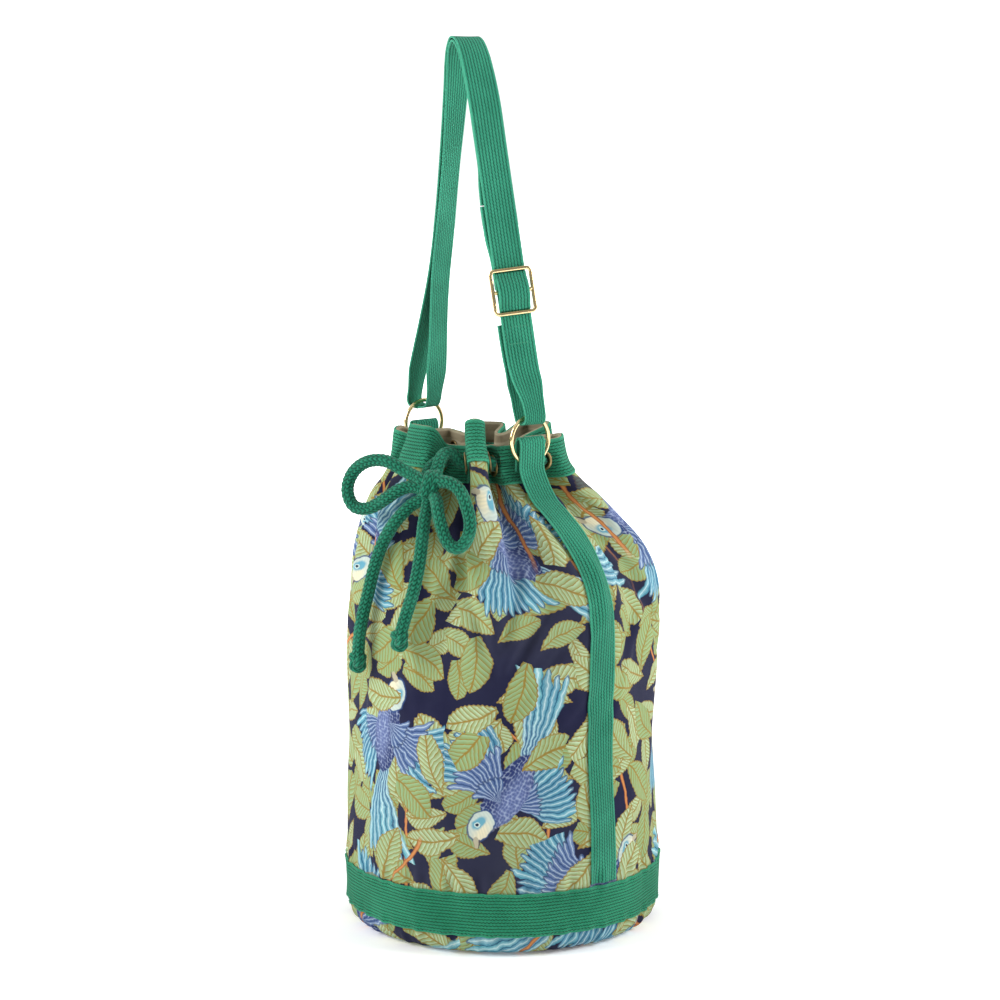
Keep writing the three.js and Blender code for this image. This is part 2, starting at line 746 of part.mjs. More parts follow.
// The inner ply's end, folded up and sewn to itself behind the slider's middle bar.
function sewnEnd() {
  const down = plyPoints(SEWN_TAIL_TOP, SLIDER_AT + 4, -1);
  const tail = down.map((p, i) => {
    const distance = lerp(SEWN_TAIL_TOP, SLIDER_AT + 4, i / (down.length - 1));
    return p.clone().addScaledVector(strapFace(distance), -(WEBBING + GAP + 0.1));
  });
  const bend = down.at(-1).clone().lerp(tail.at(-1), 0.5).addScaledVector(LEG_UP, -2.4);
  const distances = spread(down.length, SEWN_TAIL_TOP, SLIDER_AT + 4);
  const back = [...distances].reverse();
  return ply([...down, bend, ...tail.reverse()], [...distances, SLIDER_AT, ...back], 24);
}

function sliderFrameMatrix() {
  const face = strapFace(SLIDER_AT);
  const side = LEG_UP.clone().cross(face);
  const frame = new THREE.Matrix4().makeBasis(side, LEG_UP, face);
  return frame.setPosition(strapMiddle(SLIDER_AT));
}

function roundedRectangle(path, width, height, corner, centre = 0) {
  const [x, y] = [width / 2, height / 2];
  path.moveTo(-x + corner, centre - y);
  path.lineTo(x - corner, centre - y);
  path.absarc(x - corner, centre - y + corner, corner, -Math.PI / 2, 0, false);
  path.lineTo(x, centre + y - corner);
  path.absarc(x - corner, centre + y - corner, corner, 0, Math.PI / 2, false);
  path.lineTo(-x + corner, centre + y);
  path.absarc(-x + corner, centre + y - corner, corner, Math.PI / 2, Math.PI, false);
  path.lineTo(-x, centre - y + corner);
  path.absarc(-x + corner, centre - y + corner, corner, Math.PI, 1.5 * Math.PI, false);
  return path;
}

// A flat cast frame with a middle bar, in front of the outer ply.
function sliderFrame() {
  const outline = roundedRectangle(new THREE.Shape(), SLIDER_WIDTH, SLIDER_HEIGHT, 4);
  const window = (SLIDER_HEIGHT - 3 * SLIDER_WIRE) / 2;
  for (const sign of [-1, 1]) {
    const centre = (sign * (window + SLIDER_WIRE)) / 2;
    const inside = SLIDER_WIDTH - 2 * SLIDER_WIRE;
    outline.holes.push(roundedRectangle(new THREE.Path(), inside, window, 1.5, centre));
  }
  const options = { depth: 2.4, bevelEnabled: false, curveSegments: 4 };
  const geometry = new THREE.ExtrudeGeometry(outline, options);
  const front = PLY_OFFSET + WEBBING / 2 + GAP + 0.2;
  return geometry.translate(0, 0, front).applyMatrix4(sliderFrameMatrix());
}

// The webbing's bight, which bulges over the slider's middle bar.
function strapBight() {
  const low = PLY_OFFSET + WEBBING + GAP;
  const half = SLIDER_HEIGHT / 2 - SLIDER_WIRE - 1;
  const rise = 4.6;
  const list = [-half, -half + 3, -6, -2, 2, 6, half - 3, half].map((y) => {
    const share = 1 - smooth(Math.abs(y), 3, half - 1);
    return point(0, y, low + rise * share);
  });
  const curve = new THREE.CatmullRomCurve3(list, false, 'centripetal');
  const strip = ribbon(curve, 16, () => point(1, 0, 0), -WEBBING / 2, WEBBING_WIDTH);
  return strip.applyMatrix4(sliderFrameMatrix());
}

// ---------------------------------------------------------------- the assembly

const COLOURS = {
  print: new THREE.MeshStandardMaterial({ color: 0x5b7d4f, roughness: 0.85 }),
  webbing: new THREE.MeshStandardMaterial({ color: 0x1f7a55, roughness: 0.8 }),
  lining: new THREE.MeshStandardMaterial({ color: 0xb9a987, roughness: 0.9 }),
  brass: new THREE.MeshStandardMaterial({ color: 0xa98a4a, roughness: 0.35, metalness: 1 }),
  gold: new THREE.MeshStandardMaterial({ color: 0xd8b36a, roughness: 0.2, metalness: 1 }),
  rope: new THREE.MeshStandardMaterial({ color: 0x1b8a5c, roughness: 0.9 }),
};

const bag = new THREE.Group();

function add(name, geometry, material) {
  const mesh = new THREE.Mesh(closed(geometry), material.clone());
  mesh.name = name;
  bag.add(mesh);
  return mesh;
}

add('base_panel', basePanel(), COLOURS.print);
add('back_panel', panel(0, LEFT_SEAM), COLOURS.print);
add('front_panel', panel(LEFT_SEAM, 1), COLOURS.print);
add('base_band', baseBand(), COLOURS.webbing);
add('rim_band', cut(sheetRound(RIM_HEIGHTS, GAP, GAP + WEBBING), eyeletHoles()), COLOURS.webbing);
add(
  'rim_facing',
  cut(sheetRound(RIM_HEIGHTS, -CLOTH - GAP - FACING, -CLOTH - GAP), eyeletHoles()),
  COLOURS.lining,
);
SEATS.forEach((seat, i) => {
  add(`eyelet_${i + 1}`, placeOnSeat(eyelet(), seat), COLOURS.brass);
});
for (const [name, side] of Object.entries(SIDES)) {
  add(`side_strip_${name}`, sideStrip(side), COLOURS.webbing);
  const centre = ringCentre(side);
  add(`ring_${name}`, ring().translate(centre.x, centre.y, centre.z), COLOURS.gold);
}
add('drawstring_run', cut(rope(runCurve(), 72, HELD_ROPE), eyeletPinches()), COLOURS.rope);
add('bow_knot', sphere(KNOT_RADIUS, [1, 0.9, 1.1]).translate(...KNOT), COLOURS.rope);
for (const [name, route] of Object.entries(FREE_ROUTES)) {
  const seat = SEATS.at(name === 'left' ? -1 : 0);
  add(`drawstring_exit_${name}`, freeRope(seat, route.exit, 6), COLOURS.rope);
  add(`bow_loop_${name}`, freeRope(null, route.loop, 20), COLOURS.rope);
  add(`drawstring_tail_${name}`, freeRope(null, route.tail, 14), COLOURS.rope);
  const end = sphere(END_KNOT / 2, [1, 1, 1.05]).translate(...route.knot);
  add(`end_knot_${name}`, end, COLOURS.rope);
}
add('strap_outer', outerPly(), COLOURS.webbing);
add('strap_inner', innerPly(), COLOURS.webbing);
add('strap_slack', slackPly(), COLOURS.webbing);
add('strap_sewn_end', sewnEnd(), COLOURS.webbing);
add('slider_frame', sliderFrame(), COLOURS.gold);
add('strap_bight', strapBight(), COLOURS.webbing);

export default bag;
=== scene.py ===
"""The looks of a drawstring bucket bag: printed cotton, green webbing, braided rope, gold hardware.

Lengths are worked out in millimetres, in the frame of the CAD part, and turned into metres when
a mesh is made. +Z is up, -Y is the tied side, the two strap rings stand on the line X.
"""

import math

import bmesh
import bpy
import numpy as np
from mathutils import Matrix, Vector


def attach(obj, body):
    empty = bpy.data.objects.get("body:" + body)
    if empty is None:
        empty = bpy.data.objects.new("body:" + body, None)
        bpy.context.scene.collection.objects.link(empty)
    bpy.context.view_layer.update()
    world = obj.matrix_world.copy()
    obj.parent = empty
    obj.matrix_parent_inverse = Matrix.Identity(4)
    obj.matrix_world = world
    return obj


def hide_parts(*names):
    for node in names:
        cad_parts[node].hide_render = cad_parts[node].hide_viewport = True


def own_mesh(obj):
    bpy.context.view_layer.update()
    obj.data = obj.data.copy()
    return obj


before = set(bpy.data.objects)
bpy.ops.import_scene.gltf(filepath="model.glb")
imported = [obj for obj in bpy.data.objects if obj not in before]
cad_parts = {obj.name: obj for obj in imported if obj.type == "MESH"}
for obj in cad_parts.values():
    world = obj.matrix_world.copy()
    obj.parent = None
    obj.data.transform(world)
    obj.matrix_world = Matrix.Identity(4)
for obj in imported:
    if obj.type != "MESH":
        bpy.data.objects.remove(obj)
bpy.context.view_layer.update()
MM = 0.001

# ---------------------------------------------------------------- sizes, as in the part

GAP = 0.3
CLOTH = 1.2
WEBBING = 1.5
FACING = 0.8
WEBBING_WIDTH = 25.0
BASE_BAND_LOW = 16.0
BASE_BAND_HEIGHT = 35.0
BASE_FLAT_RADIUS = 110.0
PANEL_LOW = 15.0
RIM_HEIGHT = 395.0
RIM_BAND_HEIGHT = 30.0
MOUTH = np.array([-15.0, -15.0])
ROPE = 10.0
HELD_ROPE = 8.6
EYELET_BORE = 12.4
EYELET_FLANGE = 17.5
EYELET_HEIGHT = 378.0
EYELET_LEVELLING = 0.35
EYELET_FRONT = WEBBING + 4 * GAP
EYELET_BACK = CLOTH + FACING + 3 * GAP
EYELET_SWING = 5.0
EYELET_REACH = 3.8
NEAR_ENDS = 5.0  # two turns of the rope closer than this are one turn
RING_OUTSIDE = 40.0
RING_WIRE = 3.2
RING_HEIGHT = 394.0
SLIDER_WIDTH = 35.0
SLIDER_HEIGHT = 37.0
SLIDER_WIRE = 3.0
FOLDS = 8
FRONT_VALLEY_FLAT = 0.26
FOLD_TURN = 1.5
VALLEY_DROP = 8.0
TIED_VALLEY = FOLDS - 1
STEPS = 20
ROUND_MM = 2 * math.pi * 124.5  # the cloth's real length round the sack

# Each fold's crest: flat share, how far it stands up, leans in and stands out.
CRESTS = np.array([
    (0.42, -6, 0, -5),
    (0.26, -4, 3, 9),
    (0.30, 2, 2, 6),
    (0.26, -2, 4, 5),
    (0.42, -6, 0, -5),
    (0.26, 1, 5, 6),
    (0.28, 8, 14, 8),
    (0.0, 17, -2, 5),
])

# ---------------------------------------------------------------- small helpers


def lerp(a, b, t):
    return a + (b - a) * t


def smooth(x, low, high):
    t = np.clip((np.asarray(x, float) - low) / (high - low), 0, 1)
    return t * t * (3 - 2 * t)


def unit(v):
    v = np.asarray(v, float)
    return v / np.maximum(np.linalg.norm(v, axis=-1, keepdims=True), 1e-12)


def square_to(side, along):
    """`side` made square to `along`, of unit length."""
    return unit(side - along * np.sum(side * along, axis=-1, keepdims=True))


def centripetal(points, per=24):
    """A centripetal Catmull-Rom curve through the points, and each sample's place in the list."""
    p = np.asarray(points, float)
    ends = np.vstack([2 * p[0] - p[1], p, 2 * p[-1] - p[-2]])
    samples = []
    places = []
    for i in range(len(p) - 1):
        a, b, c, d = ends[i : i + 4]
        d0, d1, d2 = (max(math.dist(u, v) ** 0.5, 1e-4) for u, v in ((a, b), (b, c), (c, d)))
        m1 = ((b - a) / d0 - (c - a) / (d0 + d1) + (c - b) / d1) * d1
        m2 = ((c - b) / d1 - (d - b) / (d1 + d2) + (d - c) / d2) * d1
        for k in range(per + (i == len(p) - 2)):
            t = k / per
            t2, t3 = t * t, t * t * t
            samples.append(
                b * (2 * t3 - 3 * t2 + 1) + m1 * (t3 - 2 * t2 + t)
                + c * (3 * t2 - 2 * t3) + m2 * (t3 - t2)
            )
            places.append(i + t)
    return np.array(samples), np.array(places)


class Path:
    """A curve that is read by the distance along it."""

    def __init__(self, points, per=24, smooth_curve=True):
        if smooth_curve:
            self.points, self.places = centripetal(points, per)
        else:
            self.points = np.asarray(points, float)
            self.places = np.arange(len(self.points), dtype=float)
        steps = np.linalg.norm(np.diff(self.points, axis=0), axis=1)
        self.along = np.concatenate([[0], np.cumsum(steps)])
        self.length = self.along[-1]

    def at(self, distance):
        columns = [np.interp(distance, self.along, self.points[:, k]) for k in range(3)]
        return np.stack(columns, axis=-1)

    def tangent(self, distance):
        d = np.asarray(distance, float)
        ahead = np.minimum(d + 0.4, self.length)
        behind = np.maximum(d - 0.4, 0)
        return unit(self.at(ahead) - self.at(behind))

    def place(self, distance):
        return np.interp(distance, self.along, self.places)


def make_mesh(name, points, faces, uv=None, keep=None, material=None):
    """A smooth-shaded object from points in millimetres, quads and a UV in millimetres per point."""
    faces = np.asarray(faces, dtype=np.int64)
    if keep is not None:
        faces = faces[keep]
    mesh = bpy.data.meshes.new(name)
    used, inverse = np.unique(faces, return_inverse=True)
    faces = inverse.reshape(faces.shape)
    mesh.from_pydata((points[used] * MM).tolist(), [], faces.tolist())
    if uv is not None:
        layer = mesh.uv_layers.new(name="fabric")
        layer.data.foreach_set("uv", uv[used][faces.ravel()].astype(np.float32).ravel() * MM * 10)
    mesh.polygons.foreach_set("use_smooth", [True] * len(mesh.polygons))
    if material:
        mesh.materials.append(material)
    mesh.update()
    obj = bpy.data.objects.new(name, mesh)
    bpy.context.scene.collection.objects.link(obj)
    return obj


def uv_pairs(u, v):
    """One UV for each point of a grid."""
    return np.stack([u, v], axis=-1).reshape(-1, 2)


def grid_faces(rows, columns, wrap_rows=False, wrap_columns=False):
    """The quads between the points of a grid, which may run on round either way."""
    i, j = np.meshgrid(
        np.arange(rows - (not wrap_rows)), np.arange(columns - (not wrap_columns)), indexing="ij"
    )
    i, j = i.ravel(), j.ravel()
    i2, j2 = (i + 1) % rows, (j + 1) % columns
    return np.stack([i * columns + j, i * columns + j2, i2 * columns + j2, i2 * columns + j], axis=1)


def join(objects, name):
    with bpy.context.temp_override(
        active_object=objects[0], selected_editable_objects=objects, selected_objects=objects
    ):
        bpy.ops.object.join()
    objects[0].name = name
    return objects[0]


def mend(obj, operation):
    """Run an operation on an object's mesh."""
    work = bmesh.new()
    work.from_mesh(obj.data)
    operation(work)
    work.to_mesh(obj.data)
    work.free()
    obj.data.update()


def weld(obj, distance):
    """Join the points that lie on each other, within a distance in millimetres."""
    mend(obj, lambda work: bmesh.ops.remove_doubles(work, verts=work.verts, dist=distance * MM))


def cap_ends(obj):
    """Close a tube's open ends and turn its faces outwards."""

    def close(work):
        rims = [edge for edge in work.edges if len(edge.link_faces) == 1]
        bmesh.ops.holes_fill(work, edges=rims, sides=400)
        bmesh.ops.recalc_face_normals(work, faces=work.faces)

    mend(obj, close)


# ---------------------------------------------------------------- materials


class Num:
    """A number inside a shader, combined with ordinary arithmetic."""

    def __init__(self, shader, socket):
        self.shader = shader
        self.socket = socket

    def _do(self, operation, *others):
        return self.shader.math(operation, self, *others)

    def __add__(self, other):
        return self._do("ADD", other)

    __radd__ = __add__

    def __sub__(self, other):
        return self._do("SUBTRACT", other)

    def __rsub__(self, other):
        return self.shader.math("SUBTRACT", other, self)

    def __mul__(self, other):
        return self._do("MULTIPLY", other)

    __rmul__ = __mul__

    def __truediv__(self, other):
        return self._do("DIVIDE", other)

    def __neg__(self):
        return self._do("MULTIPLY", -1.0)

    def abs(self):
        return self._do("ABSOLUTE")

    def sin(self):
        return self._do("SINE")

    def cos(self):
        return self._do("COSINE")

    def sqrt(self):
        return self._do("SQRT")

    def least(self, other):
        return self._do("MINIMUM", other)

    def most(self, other):
        return self._do("MAXIMUM", other)

    def fraction(self):
        return self._do("FRACT")

    def step(self, low, high):
        """0 below low, 1 above high, and smooth between them; low may be the larger."""
        return self.shader.step(self, low, high)


class Shader:
    """A material's node tree, or a node group's, with short words for the nodes it needs."""

    def __init__(self, tree):
        self.tree = tree

    def node(self, kind, **settings):
        made = self.tree.nodes.new(kind)
        for key, value in settings.items():
            setattr(made, key, value)
        return made

    def plug(self, socket, value):
        if isinstance(value, Num):
            value = value.socket
        if isinstance(value, bpy.types.NodeSocket):
            self.tree.links.new(value, socket)
        elif isinstance(value, (tuple, list)) and socket.type == "RGBA":
            socket.default_value = (*value[:3], 1.0)
        else:
            socket.default_value = value

    def math(self, operation, *values):
        made = self.node("ShaderNodeMath", operation=operation)
        for socket, value in zip(made.inputs, values):
            self.plug(socket, value)
        return Num(self, made.outputs[0])

    def step(self, value, low, high):
        made = self.node("ShaderNodeMapRange", interpolation_type="SMOOTHSTEP")
        flipped = low > high
        lowest, highest = (high, low) if flipped else (low, high)
        ends = (1.0, 0.0) if flipped else (0.0, 1.0)
        for socket, v in zip(made.inputs, (value, lowest, highest, *ends)):
            self.plug(socket, v)
        return Num(self, made.outputs[0])

    def mix(self, factor, a, b):
        made = self.node("ShaderNodeMix", data_type="RGBA")
        self.plug(made.inputs["Factor"], factor)
        self.plug(made.inputs[6], a)
        self.plug(made.inputs[7], b)
        return made.outputs[2]

    def vector(self, x, y, z=0.0):
        made = self.node("ShaderNodeCombineXYZ")
        for socket, value in zip(made.inputs, (x, y, z)):
            self.plug(socket, value)
        return made.outputs[0]

    def parts(self, vector):
        made = self.node("ShaderNodeSeparateXYZ")
        self.plug(made.inputs[0], vector)
        return [Num(self, out) for out in made.outputs]

    def uv(self):
        """The fabric's own coordinates, in millimetres."""
        made = self.node("ShaderNodeUVMap", uv_map="fabric")
        u, v, _ = self.parts(made.outputs[0])
        return u * 100.0, v * 100.0

    def noise(self, scale, detail=2.0, vector=None, roughness=0.5):
        made = self.node("ShaderNodeTexNoise")
        self.plug(made.inputs["Scale"], scale)
        self.plug(made.inputs["Detail"], detail)
        self.plug(made.inputs["Roughness"], roughness)
        if vector is None:
            vector = self.node("ShaderNodeTexCoord").outputs["Object"]
        self.plug(made.inputs["Vector"], vector)
        return Num(self, made.outputs[0])

    def cells(self, vector, size, randomness=1.0, feature="F1"):
        made = self.node("ShaderNodeTexVoronoi", voronoi_dimensions="2D", feature=feature)
        self.plug(made.inputs["Vector"], vector)
        self.plug(made.inputs["Scale"], 1.0 / size)
        self.plug(made.inputs["Randomness"], randomness)
        return made


def material(name, colour=(0.8, 0.8, 0.8), roughness=0.8, metallic=0.0, **constants):
    """A new material: its Shader and its Principled node."""
    made = bpy.data.materials.new(name)
    made.use_nodes = True
    shader = Shader(made.node_tree)
    principled = made.node_tree.nodes["Principled BSDF"]
    principled.inputs["Base Color"].default_value = (*colour, 1)
    principled.inputs["Roughness"].default_value = roughness
    principled.inputs["Metallic"].default_value = metallic
    for key, value in constants.items():
        principled.inputs[key.replace("_", " ")].default_value = value
    return made, shader, principled


def bump(shader, principled, height, distance, strength=1.0):
    made = shader.node("ShaderNodeBump")
    shader.plug(made.inputs["Strength"], strength)
    shader.plug(made.inputs["Distance"], distance * MM)
    shader.plug(made.inputs["Height"], height)
    shader.plug(principled.inputs["Normal"], made.outputs[0])


LEAF_LIGHT = (0.43, 0.57, 0.37)
LEAF_GREEN = (0.24, 0.40, 0.21)
LEAF_MIDDLE = (0.22, 0.25, 0.06)
LEAF_VEIN = (0.27, 0.16, 0.022)
NAVY = (0.008, 0.009, 0.034)


def strewn(shader, u, v, cell, shift, randomness):
    """Each cell's own coordinates, turned its own way, and its two other chances."""
    spot = shader.vector(u + shift[0], v + shift[1])
    voronoi = shader.cells(spot, cell, randomness=randomness)
    away = shader.node("ShaderNodeVectorMath", operation="SUBTRACT")
    shader.plug(away.inputs[0], spot)
    shader.plug(away.inputs[1], voronoi.outputs["Position"])
    pick = shader.node("ShaderNodeSeparateColor")
    shader.plug(pick.inputs[0], voronoi.outputs["Color"])
    turn, chance, tone = (Num(shader, out) for out in pick.outputs[:3])
    rotate = shader.node("ShaderNodeVectorRotate", rotation_type="Z_AXIS")
    shader.plug(rotate.inputs["Vector"], away.outputs[0])
    shader.plug(rotate.inputs["Angle"], turn * (2 * math.pi))
    x, y, _ = shader.parts(rotate.outputs[0])
    return spot, x, y, chance, tone


def leaf_layer(shader, u, v, ground, cell, shift, share=1.0):
    """Leaves strewn on the ground colour, one to a cell, each at its own turn and size."""
    spot, x, y, chance, tone = strewn(shader, u, v, cell, shift, 0.75)
    size = cell * 0.62
    bent = y + (x * x) * (0.16 / size) - 0.03 * size
    x = x / size
    y = bent / size
    wide = (1.0 - x * x) * (0.48 + x * 0.15) * (chance * 0.25 + 0.85)
    scalloped = wide + (x * 44.0).sin() * 0.014
    inside = scalloped - y.abs()
    mask = inside.step(0.0, 0.02)
    if share < 1:
        mask = mask * tone.step(share, share - 0.01)
    rib = y.abs().step(0.045, 0.016)
    slope = ((x * 6.2 - y.abs() * 5.2) + 20.0).fraction()
    side_rib = (slope - 0.5).abs().step(0.37, 0.46)
    hatch = slope.step(0.1, 0.9)
    green = shader.mix(chance.step(0.15, 0.85), LEAF_LIGHT, LEAF_GREEN)
    sunny = shader.noise(0.35, 2.0, spot).step(0.42, 0.75)
    green = shader.mix(sunny * 0.5, green, (0.34, 0.37, 0.13))
    green = shader.mix(hatch * 0.72, green, LEAF_MIDDLE)
    edge = inside.step(0.07, 0.025)
    lined = rib.most(side_rib).most(edge)
    return shader.mix(mask, ground, shader.mix(lined * 0.9, green, LEAF_VEIN))


def ellipse(x, y, centre, half, turn=0.0):
    """Below 1 inside an ellipse."""
    c, s = math.cos(turn), math.sin(turn)
    dx, dy = x - centre[0], y - centre[1]
    a = (dx * c + dy * s) / half[0]
    b = (dy * c - dx * s) / half[1]
    return (a * a + b * b).sqrt()


def feather_fan(shader, x, y, ground, pivot, span, reach, feathers, tones, flip=False):
    """A wing or a tail: feathers spread round a pivot, pale shafts on blue, with ragged tips."""
    dx, dy = x - pivot[0], y - pivot[1]
    if flip:
        dx, dy = -dx, -dy
    radius = (dx * dx + dy * dy).sqrt()
    angle = shader.math("ARCTAN2", dy, dx)
    angle = angle + radius * (0.10 / reach) * radius / reach * 2.0
    count = (angle - span[0]) * (feathers / (span[1] - span[0]))
    each = shader.math("FLOOR", count)
    own = ((each * 12.7).sin() * 43.1).fraction()
    middle = (count.fraction() - 0.5).abs()
    tip = radius + middle * middle * (reach * 0.42) + (own - 0.5) * (reach * 0.13)
    within = angle.step(span[0], span[0] + 0.03) * angle.step(span[1], span[1] - 0.03)
    mask = tip.step(reach, reach - 1.0) * within
    barbs = ((middle * 40.0 + radius * 1.7).sin() * 0.5 + 0.5) * 0.30
    shaft = middle.step(0.08, 0.03)
    near_colour, far_colour, pale = tones
    far = (radius + own * (reach * 0.3)).step(reach * 0.35, reach * 0.95)
    blue = shader.mix(far, near_colour, far_colour)
    colour = shader.mix((middle.step(0.05, 0.42) * 0.7 + barbs).least(1.0), pale, blue)
    colour = shader.mix(own.step(0.5, 0.9) * 0.35, colour, near_colour)
    colour = shader.mix(shaft * 0.6, colour, (0.62, 0.74, 0.72))
    rim = middle.step(0.40, 0.48).most(tip.step(reach - 3.0, reach - 1.4))
    colour = shader.mix(rim * 0.72, colour, (0.012, 0.03, 0.10))
    return shader.mix(mask, ground, colour)


FLIGHT = ((0.03, 0.07, 0.20), (0.03, 0.22, 0.32), (0.24, 0.47, 0.54))
COVERTS = ((0.03, 0.05, 0.17), (0.05, 0.11, 0.27), (0.22, 0.30, 0.47))
TAIL = ((0.035, 0.10, 0.24), (0.05, 0.29, 0.37), (0.34, 0.57, 0.60))


def birds(shader, u, v, ground):
    """Made-up birds with spread wings and a long tail, strewn over the cloth."""
    _, x, y, chance, _ = strewn(shader, u, v, BIRD_CELL, BIRD_SHIFT, 0.45)
    x = x * 1.02 - 14.0
    y = y * (chance.step(0.49, 0.51) * 2.0 - 1.0)
    hand = shader.noise(0.11, 3.0, shader.vector(x, y))
    x = x + (y * 0.05).sin() * 2.0 + (hand - 0.5) * 5.0
    y = y + (hand - 0.5) * 4.0
    colour = feather_fan(shader, x, y, ground, (14, -2), (-2.8, -1.55), 60, 11, FLIGHT)
    colour = feather_fan(shader, x, y, colour, (14, 0), (-2.7, -1.5), 33, 9, COVERTS)
    colour = feather_fan(shader, x, y, colour, (-2, 0), (-0.30, 0.24), 98, 6, TAIL, True)
    body = ellipse(x, y, (6, 0), (34, 14.5), 0.12)
    scales = shader.cells(shader.vector(x, y * 1.3), 3.0, 0.5)
    speck = Num(shader, scales.outputs["Distance"])
    shade = ellipse(x, y, (10, -7), (34, 12)).step(0.3, 1.25)
    blue = shader.mix(shade, (0.12, 0.16, 0.33), (0.022, 0.036, 0.13))
    down = shader.mix(speck.step(0.35, 0.75) * 0.55, blue, (0.42, 0.50, 0.64))
    down = shader.mix(speck.step(0.25, 0.1) * 0.5, down, (0.02, 0.03, 0.12))
    colour = shader.mix(body.step(1.02, 0.95), colour, down)
    colour = feather_fan(shader, x, y, colour, (16, 3), (1.45, 2.75), 66, 12, FLIGHT)
    colour = feather_fan(shader, x, y, colour, (16, 3), (1.40, 2.85), 42, 10, COVERTS)
    colour = feather_fan(shader, x, y, colour, (16, 2), (1.3, 3.0), 22, 7, COVERTS)
    head = ellipse(x, y, (41, 7), (14.0, 9.6), 0.22)
    cream = shader.mix(
        ellipse(x, y, (47, 3), (11, 7)).step(0.3, 1.5), (0.72, 0.66, 0.46), (0.50, 0.58, 0.52)
    )
    cream = shader.mix(((x * 1.9 + y).sin() * 0.5 + 0.5) * 0.22, cream, (0.30, 0.36, 0.34))
    colour = shader.mix(head.step(1.12, 1.0) * 0.8, colour, (0.03, 0.07, 0.20))
    colour = shader.mix(head.step(0.98, 0.90), colour, cream)
    cheek = ellipse(x, y, (41, 9.5), (8.2, 4.2), 0.35)
    colour = shader.mix(cheek.step(1.1, 0.6) * 0.9, colour, (0.07, 0.30, 0.42))
    eye = ellipse(x, y, (43, 9.8), (2.4, 1.9), 0.3)
    colour = shader.mix(eye.step(1.1, 0.85), colour, (0.50, 0.62, 0.58))
    colour = shader.mix(eye.step(0.62, 0.45), colour, (0.01, 0.02, 0.05))
    beak = ellipse(x, y, (54.5, 3.5), (4.2, 2.7), -0.7)
    colour = shader.mix(beak.step(1.05, 0.85), colour, (0.42, 0.38, 0.27))
    gape = ellipse(x, y, (54, 1.2), (4.0, 0.8), -0.5)
    colour = shader.mix(gape.step(1.0, 0.7), colour, (0.08, 0.07, 0.08))
    return colour


def branches(shader, u, v, ground, pitch, shift, bend, lean, thick):
    """Thin woody stems that wander up the cloth."""
    path = u + shift + (v * (1 / 31.0) + shift).sin() * bend + v * lean
    off = ((path / pitch).fraction() - 0.5).abs() * pitch
    mask = off.step(thick, thick - 0.5)
    bark = shader.mix(off.step(thick * 0.2, thick), (0.55, 0.22, 0.07), (0.22, 0.055, 0.02))
    gate = ((v / 67.0 + shift).sin() + (u / 53.0 - shift).sin()).step(-0.6, -0.3)
    return shader.mix(mask * gate, ground, bark)


BIRD_CELL = 150.0
BIRD_SHIFT = (60.0, 30.0)


def soft_surface(principled, sheen):
    """Cloth hardly shines; a little sheen shows at its edges."""
    principled.inputs["Specular IOR Level"].default_value = 0.12
    principled.inputs["Sheen Weight"].default_value = sheen
    principled.inputs["Sheen Roughness"].default_value = 0.5


def printed_cotton():
    made, shader, principled = material("printed_cotton", roughness=0.88)
    soft_surface(principled, 0.03)
    u, v = shader.uv()
    warp = shader.noise(0.03, 1.0, shader.vector(u, v))
    hand = shader.noise(0.13, 2.0, shader.vector(u, v))
    u2 = u + (warp - 0.5) * 9.0 + (hand - 0.5) * 3.0
    v2 = v + (warp - 0.5) * 7.0 - (hand - 0.5) * 2.4
    colour = shader.mix(shader.noise(60.0, 3.0), NAVY, (0.014, 0.015, 0.046))
    colour = branches(shader, u2, v2, colour, 118.0, 0.7, 14.0, 0.42, 1.7)
    colour = leaf_layer(shader, u2, v2, colour, 33.0, (3.0, 11.0))
    colour = leaf_layer(shader, u2, v2, colour, 42.0, (171.0, 57.0), share=0.90)
    colour = birds(shader, u2, v2, colour)
    colour = branches(shader, u2, v2, colour, 165.0, 2.3, 20.0, -0.5, 2.3)
    colour = leaf_layer(shader, u2, v2, colour, 44.0, (307.0, 401.0), share=0.42)
    thread = (u * 8.4).sin() * (v * 8.4).sin()
    worn = shader.noise(9.0, 4.0)
    colour = shader.mix(worn.step(0.35, 0.8) * 0.05, colour, (0.42, 0.45, 0.42))
    shader.plug(principled.inputs["Base Color"], colour)
    shader.plug(principled.inputs["Roughness"], worn * 0.12 + 0.8)
    bump(shader, principled, thread * 0.5 + shader.noise(900.0, 2.0) * 0.7, 0.22, 0.5)
    return made


